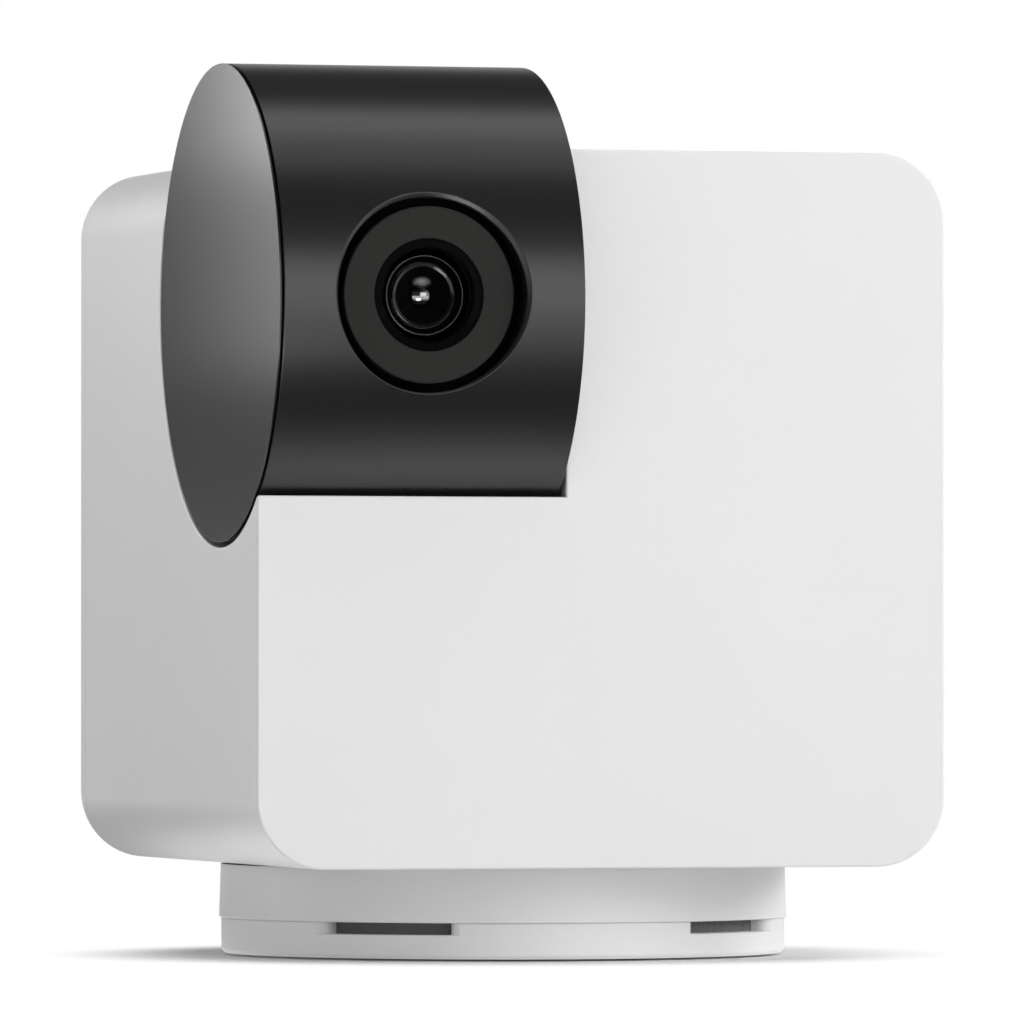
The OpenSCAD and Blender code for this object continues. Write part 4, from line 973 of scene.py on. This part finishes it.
class PETCAM_OT_screws(Operator):
    """Cross-head screws of the base and of the rear cover"""
    bl_idname = "petcam.screws"
    bl_label = "Screws"

    def execute(self, context):
        sizes = context.scene.pet_camera_sizes
        head = sizes.screw_head_r
        tree = screw_tree()
        for name, node, body in (("base_fixings", "base_screws", "base"),
                                 ("cover_fixings", "cover_screws", "housing")):
            low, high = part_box(node)
            seat = low.z + sizes.screw_head_h
            one_row = high.y - low.y <= 4 * head
            ys = [(low.y + high.y) / 2] if one_row else [low.y + head, high.y - head]
            screws = points(name, [(x, y, seat) for x in (low.x + head, high.x - head) for y in ys])
            grow(screws, tree, Head_Radius=head, Head_Height=sizes.screw_head_h, Shank_Radius=sizes.screw_r,
                 Shank_Length=high.z - seat, Cross_Width=sizes.cross_w, Cross_Length=sizes.cross_l,
                 Material=finishes()["steel"])
            smooth(screws)
            settle(screws, body, "steel", node)
        return {"FINISHED"}


class PETCAM_OT_insert(Operator):
    """Brass tripod insert with its thread"""
    bl_idname = "petcam.insert"
    bl_label = "Tripod insert"

    def execute(self, context):
        sizes = context.scene.pet_camera_sizes
        box_low, box_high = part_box("tripod_insert")
        low, high, deep = box_low.z, box_high.z, sizes.thread_depth
        outer = (box_high.x - box_low.x) / 2
        bore = outer - 1.4 * MM + deep
        mouth, ease = 0.2 * MM, 0.12 * MM
        outline = eased([(bore, low, mouth), (outer, low, ease), (outer, high, ease), (bore, high, 0.0)])
        insert = as_object(turned(outline, UPRIGHT, 96), "tripod_nut")
        insert.data.transform(Matrix.Translation((0, 0, -low - deep)))
        grow(insert, thread_tree(), Radius=bore, Pitch=sizes.thread_pitch, Depth=deep,
             Turns=(high - low - 2 * deep) / sizes.thread_pitch, Material=finishes()["brass"])
        insert.data.transform(Matrix.Translation((0, 0, low + deep)))
        smooth(insert, COARSE)
        settle(insert, "base", "brass", "tripod_insert")
        return {"FINISHED"}


class PETCAM_OT_inlet(Operator):
    """Power inlet's metal shell and the contacts on its tongue"""
    bl_idname = "petcam.inlet"
    bl_label = "Power inlet"

    def execute(self, context):
        sizes = context.scene.pet_camera_sizes
        low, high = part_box("usb_socket")
        bm = skin_of("usb_socket")
        soften(bm, lambda co: near(co.y, high.y), 0.08 * MM, 2)
        piece(bm, "inlet_shell", "base", "steel", "usb_socket")
        tree = contact_tree()
        run, thick, back, tongue = 3.5 * MM, 0.06 * MM, 1.3 * MM, 0.36 * MM
        spacing = 2 * sizes.contact_w
        first = -spacing * (sizes.contact_count - 1) / 2
        contacts = points("inlet_contacts", [])
        for side in (-1, 1):
            start = (first, high.y - back - run / 2, (low.z + high.z) / 2 + side * tongue)
            grow(contacts, tree, Count=sizes.contact_count, Spacing=spacing, Start=start,
                 Size=(sizes.contact_w, run, thick), Material=finishes()["brass"])
        smooth(contacts)
        settle(contacts, "base", "brass")
        return {"FINISHED"}


class PETCAM_OT_inner(Operator):
    """Finishes for the CAD pieces that stay as they are"""
    bl_idname = "petcam.inner"
    bl_label = "Inner pieces"

    def execute(self, context):
        look = finishes()
        for obj in NODES.values():
            for place in obj.material_slots:
                slot = place.material.name.split(".")[0]
                if slot in look:
                    place.material = look[slot]
                elif place.material not in look.values():
                    raise RuntimeError("no finish for the slot " + slot)
        return {"FINISHED"}


class PETCAM_OT_stage(Operator):
    """Floor, world, lamps and the camera"""
    bl_idname = "petcam.stage"
    bl_label = "Stage"

    def execute(self, context):
        scene = context.scene
        setup = scene.pet_camera_stage
        scene.view_settings.view_transform = "Standard"
        self.floor(setup)
        self.world(scene, setup)
        for row in LAMPS:
            self.lamp(*row)
        self.camera(scene, setup)
        return {"FINISHED"}

    def rays(self, tree):
        """Masks of the rays that see white, and of those that see the studio in a reflection."""
        light = tree.nodes.new("ShaderNodeLightPath").outputs
        seen = maths(tree, "MAXIMUM", light["Is Camera Ray"], light["Is Transmission Ray"])
        return seen, light["Is Glossy Ray"]

    def floor(self, setup):
        """A pale sheet of paper that fades into the white backdrop for the camera."""
        paper_r, fade_from, fade_to = 2.5, 0.0265, 0.042
        ring_reach, ring_level = 0.4, 1.6
        glare_level, glare_core = 7.0, 0.7
        bm = bmesh.new()
        bmesh.ops.create_circle(bm, cap_ends=True, segments=96, radius=paper_r)
        sheet = as_object(bm, "floor_paper")
        tree, shader = blank_material("Paper floor", Base_Color=colour4(setup.floor), Roughness=0.9,
                                      Specular_IOR_Level=0.1)
        seen, mirrored = self.rays(tree)
        place = object_place(tree)
        span = vector_maths(tree, "LENGTH", place)
        fade = ranged(tree, span, fade_from, fade_to, curve="SMOOTHSTEP")
        white = add(tree, "ShaderNodeEmission", Color=WHITE, Strength=1.0)
        paper = mix_shaders(tree, maths(tree, "MULTIPLY", seen, fade), shader, white)
        # In reflections the floor glows as painted light: bright rings about its centre and two bright spots,
        # though it is no lamp
        rings = grey_ramp(tree, ranged(tree, span, 0.0, ring_reach), FLOOR_RINGS)
        level = maths(tree, "MULTIPLY", rings, ring_level)
        for centre, reach in FLOOR_GLARES:
            away = vector_maths(tree, "DISTANCE", place, centre)
            glare = ranged(tree, away, glare_core * reach, reach, glare_level, 0.0)
            level = maths(tree, "ADD", level, glare)
        glow = add(tree, "ShaderNodeEmission", Color=WHITE, Strength=level)
        out = next(n for n in tree.nodes if n.type == "OUTPUT_MATERIAL")
        lead(tree, out.inputs, Surface=mix_shaders(tree, mirrored, paper, glow).outputs[0])
        sheet.data.materials.append(bpy.data.materials["Paper floor"])

    def world(self, scene, setup):
        """White for the camera and through glass; soft light all round; bands of studio dark in reflections."""
        scene.world = bpy.data.worlds.new("Studio")
        scene.world.use_nodes = True
        tree = scene.world.node_tree
        tree.nodes.clear()
        seen, mirrored = self.rays(tree)
        way = tree.nodes.new("ShaderNodeTexCoord").outputs["Generated"]
        parts = add(tree, "ShaderNodeSeparateXYZ", way).outputs
        bands = grey_ramp(tree, ranged(tree, parts["Z"], -1.0, 1.0), STUDIO_BANDS)
        side = ranged(tree, parts["X"], -0.1, 0.3, 0.1, 1.0)
        white, soft, studio = (
            add(tree, "ShaderNodeBackground", Color=colour, Strength=strength)
            for colour, strength in ((WHITE, 1.0), (WHITE, setup.ambient), (bands, side)))
        shine = mix_shaders(tree, mirrored, soft, studio)
        add(tree, "ShaderNodeOutputWorld", Surface=mix_shaders(tree, seen, shine, white).outputs[0])

    def lamp(self, name, place, target, wide, tall, level, matt=True, glossy=True):
        """A soft rectangular lamp of a given radiance, aimed at a point."""
        data = bpy.data.lights.new(name, "AREA")
        data.shape = "RECTANGLE"
        data.size, data.size_y = wide, tall
        data.energy = 4 * wide * tall * level
        lamp = linked(name, data)
        lamp.location = place
        lamp.rotation_euler = (Vector(target) - Vector(place)).to_track_quat("-Z", "Y").to_euler()
        lamp.visible_camera = False
        lamp.visible_glossy = glossy
        lamp.visible_diffuse = matt

    def camera(self, scene, setup):
        """The camera at the photograph's place."""
        data = bpy.data.cameras.new("Camera")
        data.sensor_width = 36.0
        data.lens = setup.focal
        data.clip_start, data.clip_end = 0.05, 50.0
        camera = linked("Camera", data)
        level = math.cos(setup.pitch)
        ahead = Vector((math.sin(setup.yaw) * level, math.cos(setup.yaw) * level, math.sin(setup.pitch)))
        right = Vector((math.cos(setup.yaw), -math.sin(setup.yaw), 0.0))
        turn = Matrix((right, right.cross(ahead), -ahead)).transposed()
        camera.matrix_world = Matrix.Translation(setup.eye) @ turn.to_4x4()
        scene.camera = camera


class PETCAM_PT_panel(Panel):
    """Lists the pieces of the pet camera"""
    bl_idname = "PETCAM_PT_panel"
    bl_label = "Pet camera"
    bl_space_type = "VIEW_3D"
    bl_region_type = "UI"
    bl_category = "Pet camera"

    def draw(self, context):
        for operator in OPERATORS:
            self.layout.operator(operator.bl_idname)
        for name in GROUPS:
            group = getattr(context.scene, name)
            for key in group.bl_rna.properties.keys():
                if key not in ("rna_type", "name"):
                    self.layout.prop(group, key)


GROUPS = {"pet_camera_sizes": PetCameraSizes, "pet_camera_finish": PetCameraFinish,
          "pet_camera_stage": PetCameraStage}
OPERATORS = (PETCAM_OT_body, PETCAM_OT_button, PETCAM_OT_drum, PETCAM_OT_lens, PETCAM_OT_base, PETCAM_OT_screws,
             PETCAM_OT_insert, PETCAM_OT_inlet, PETCAM_OT_inner, PETCAM_OT_stage)
CLASSES = (*GROUPS.values(), *OPERATORS, PETCAM_PT_panel)


def register():
    for cls in CLASSES:
        bpy.utils.register_class(cls)
    for name, group in GROUPS.items():
        setattr(bpy.types.Scene, name, PointerProperty(type=group))


def unregister():
    for name in GROUPS:
        delattr(bpy.types.Scene, name)
    for cls in reversed(CLASSES):
        bpy.utils.unregister_class(cls)


def main():
    register()
    bpy.ops.petcam.body()
    bpy.ops.petcam.button()
    bpy.ops.petcam.drum()
    bpy.ops.petcam.lens()
    bpy.ops.petcam.base()
    bpy.ops.petcam.screws()
    bpy.ops.petcam.insert()
    bpy.ops.petcam.inlet()
    bpy.ops.petcam.inner()
    bpy.ops.petcam.stage()
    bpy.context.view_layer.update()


if __name__ == "__main__":
    main()
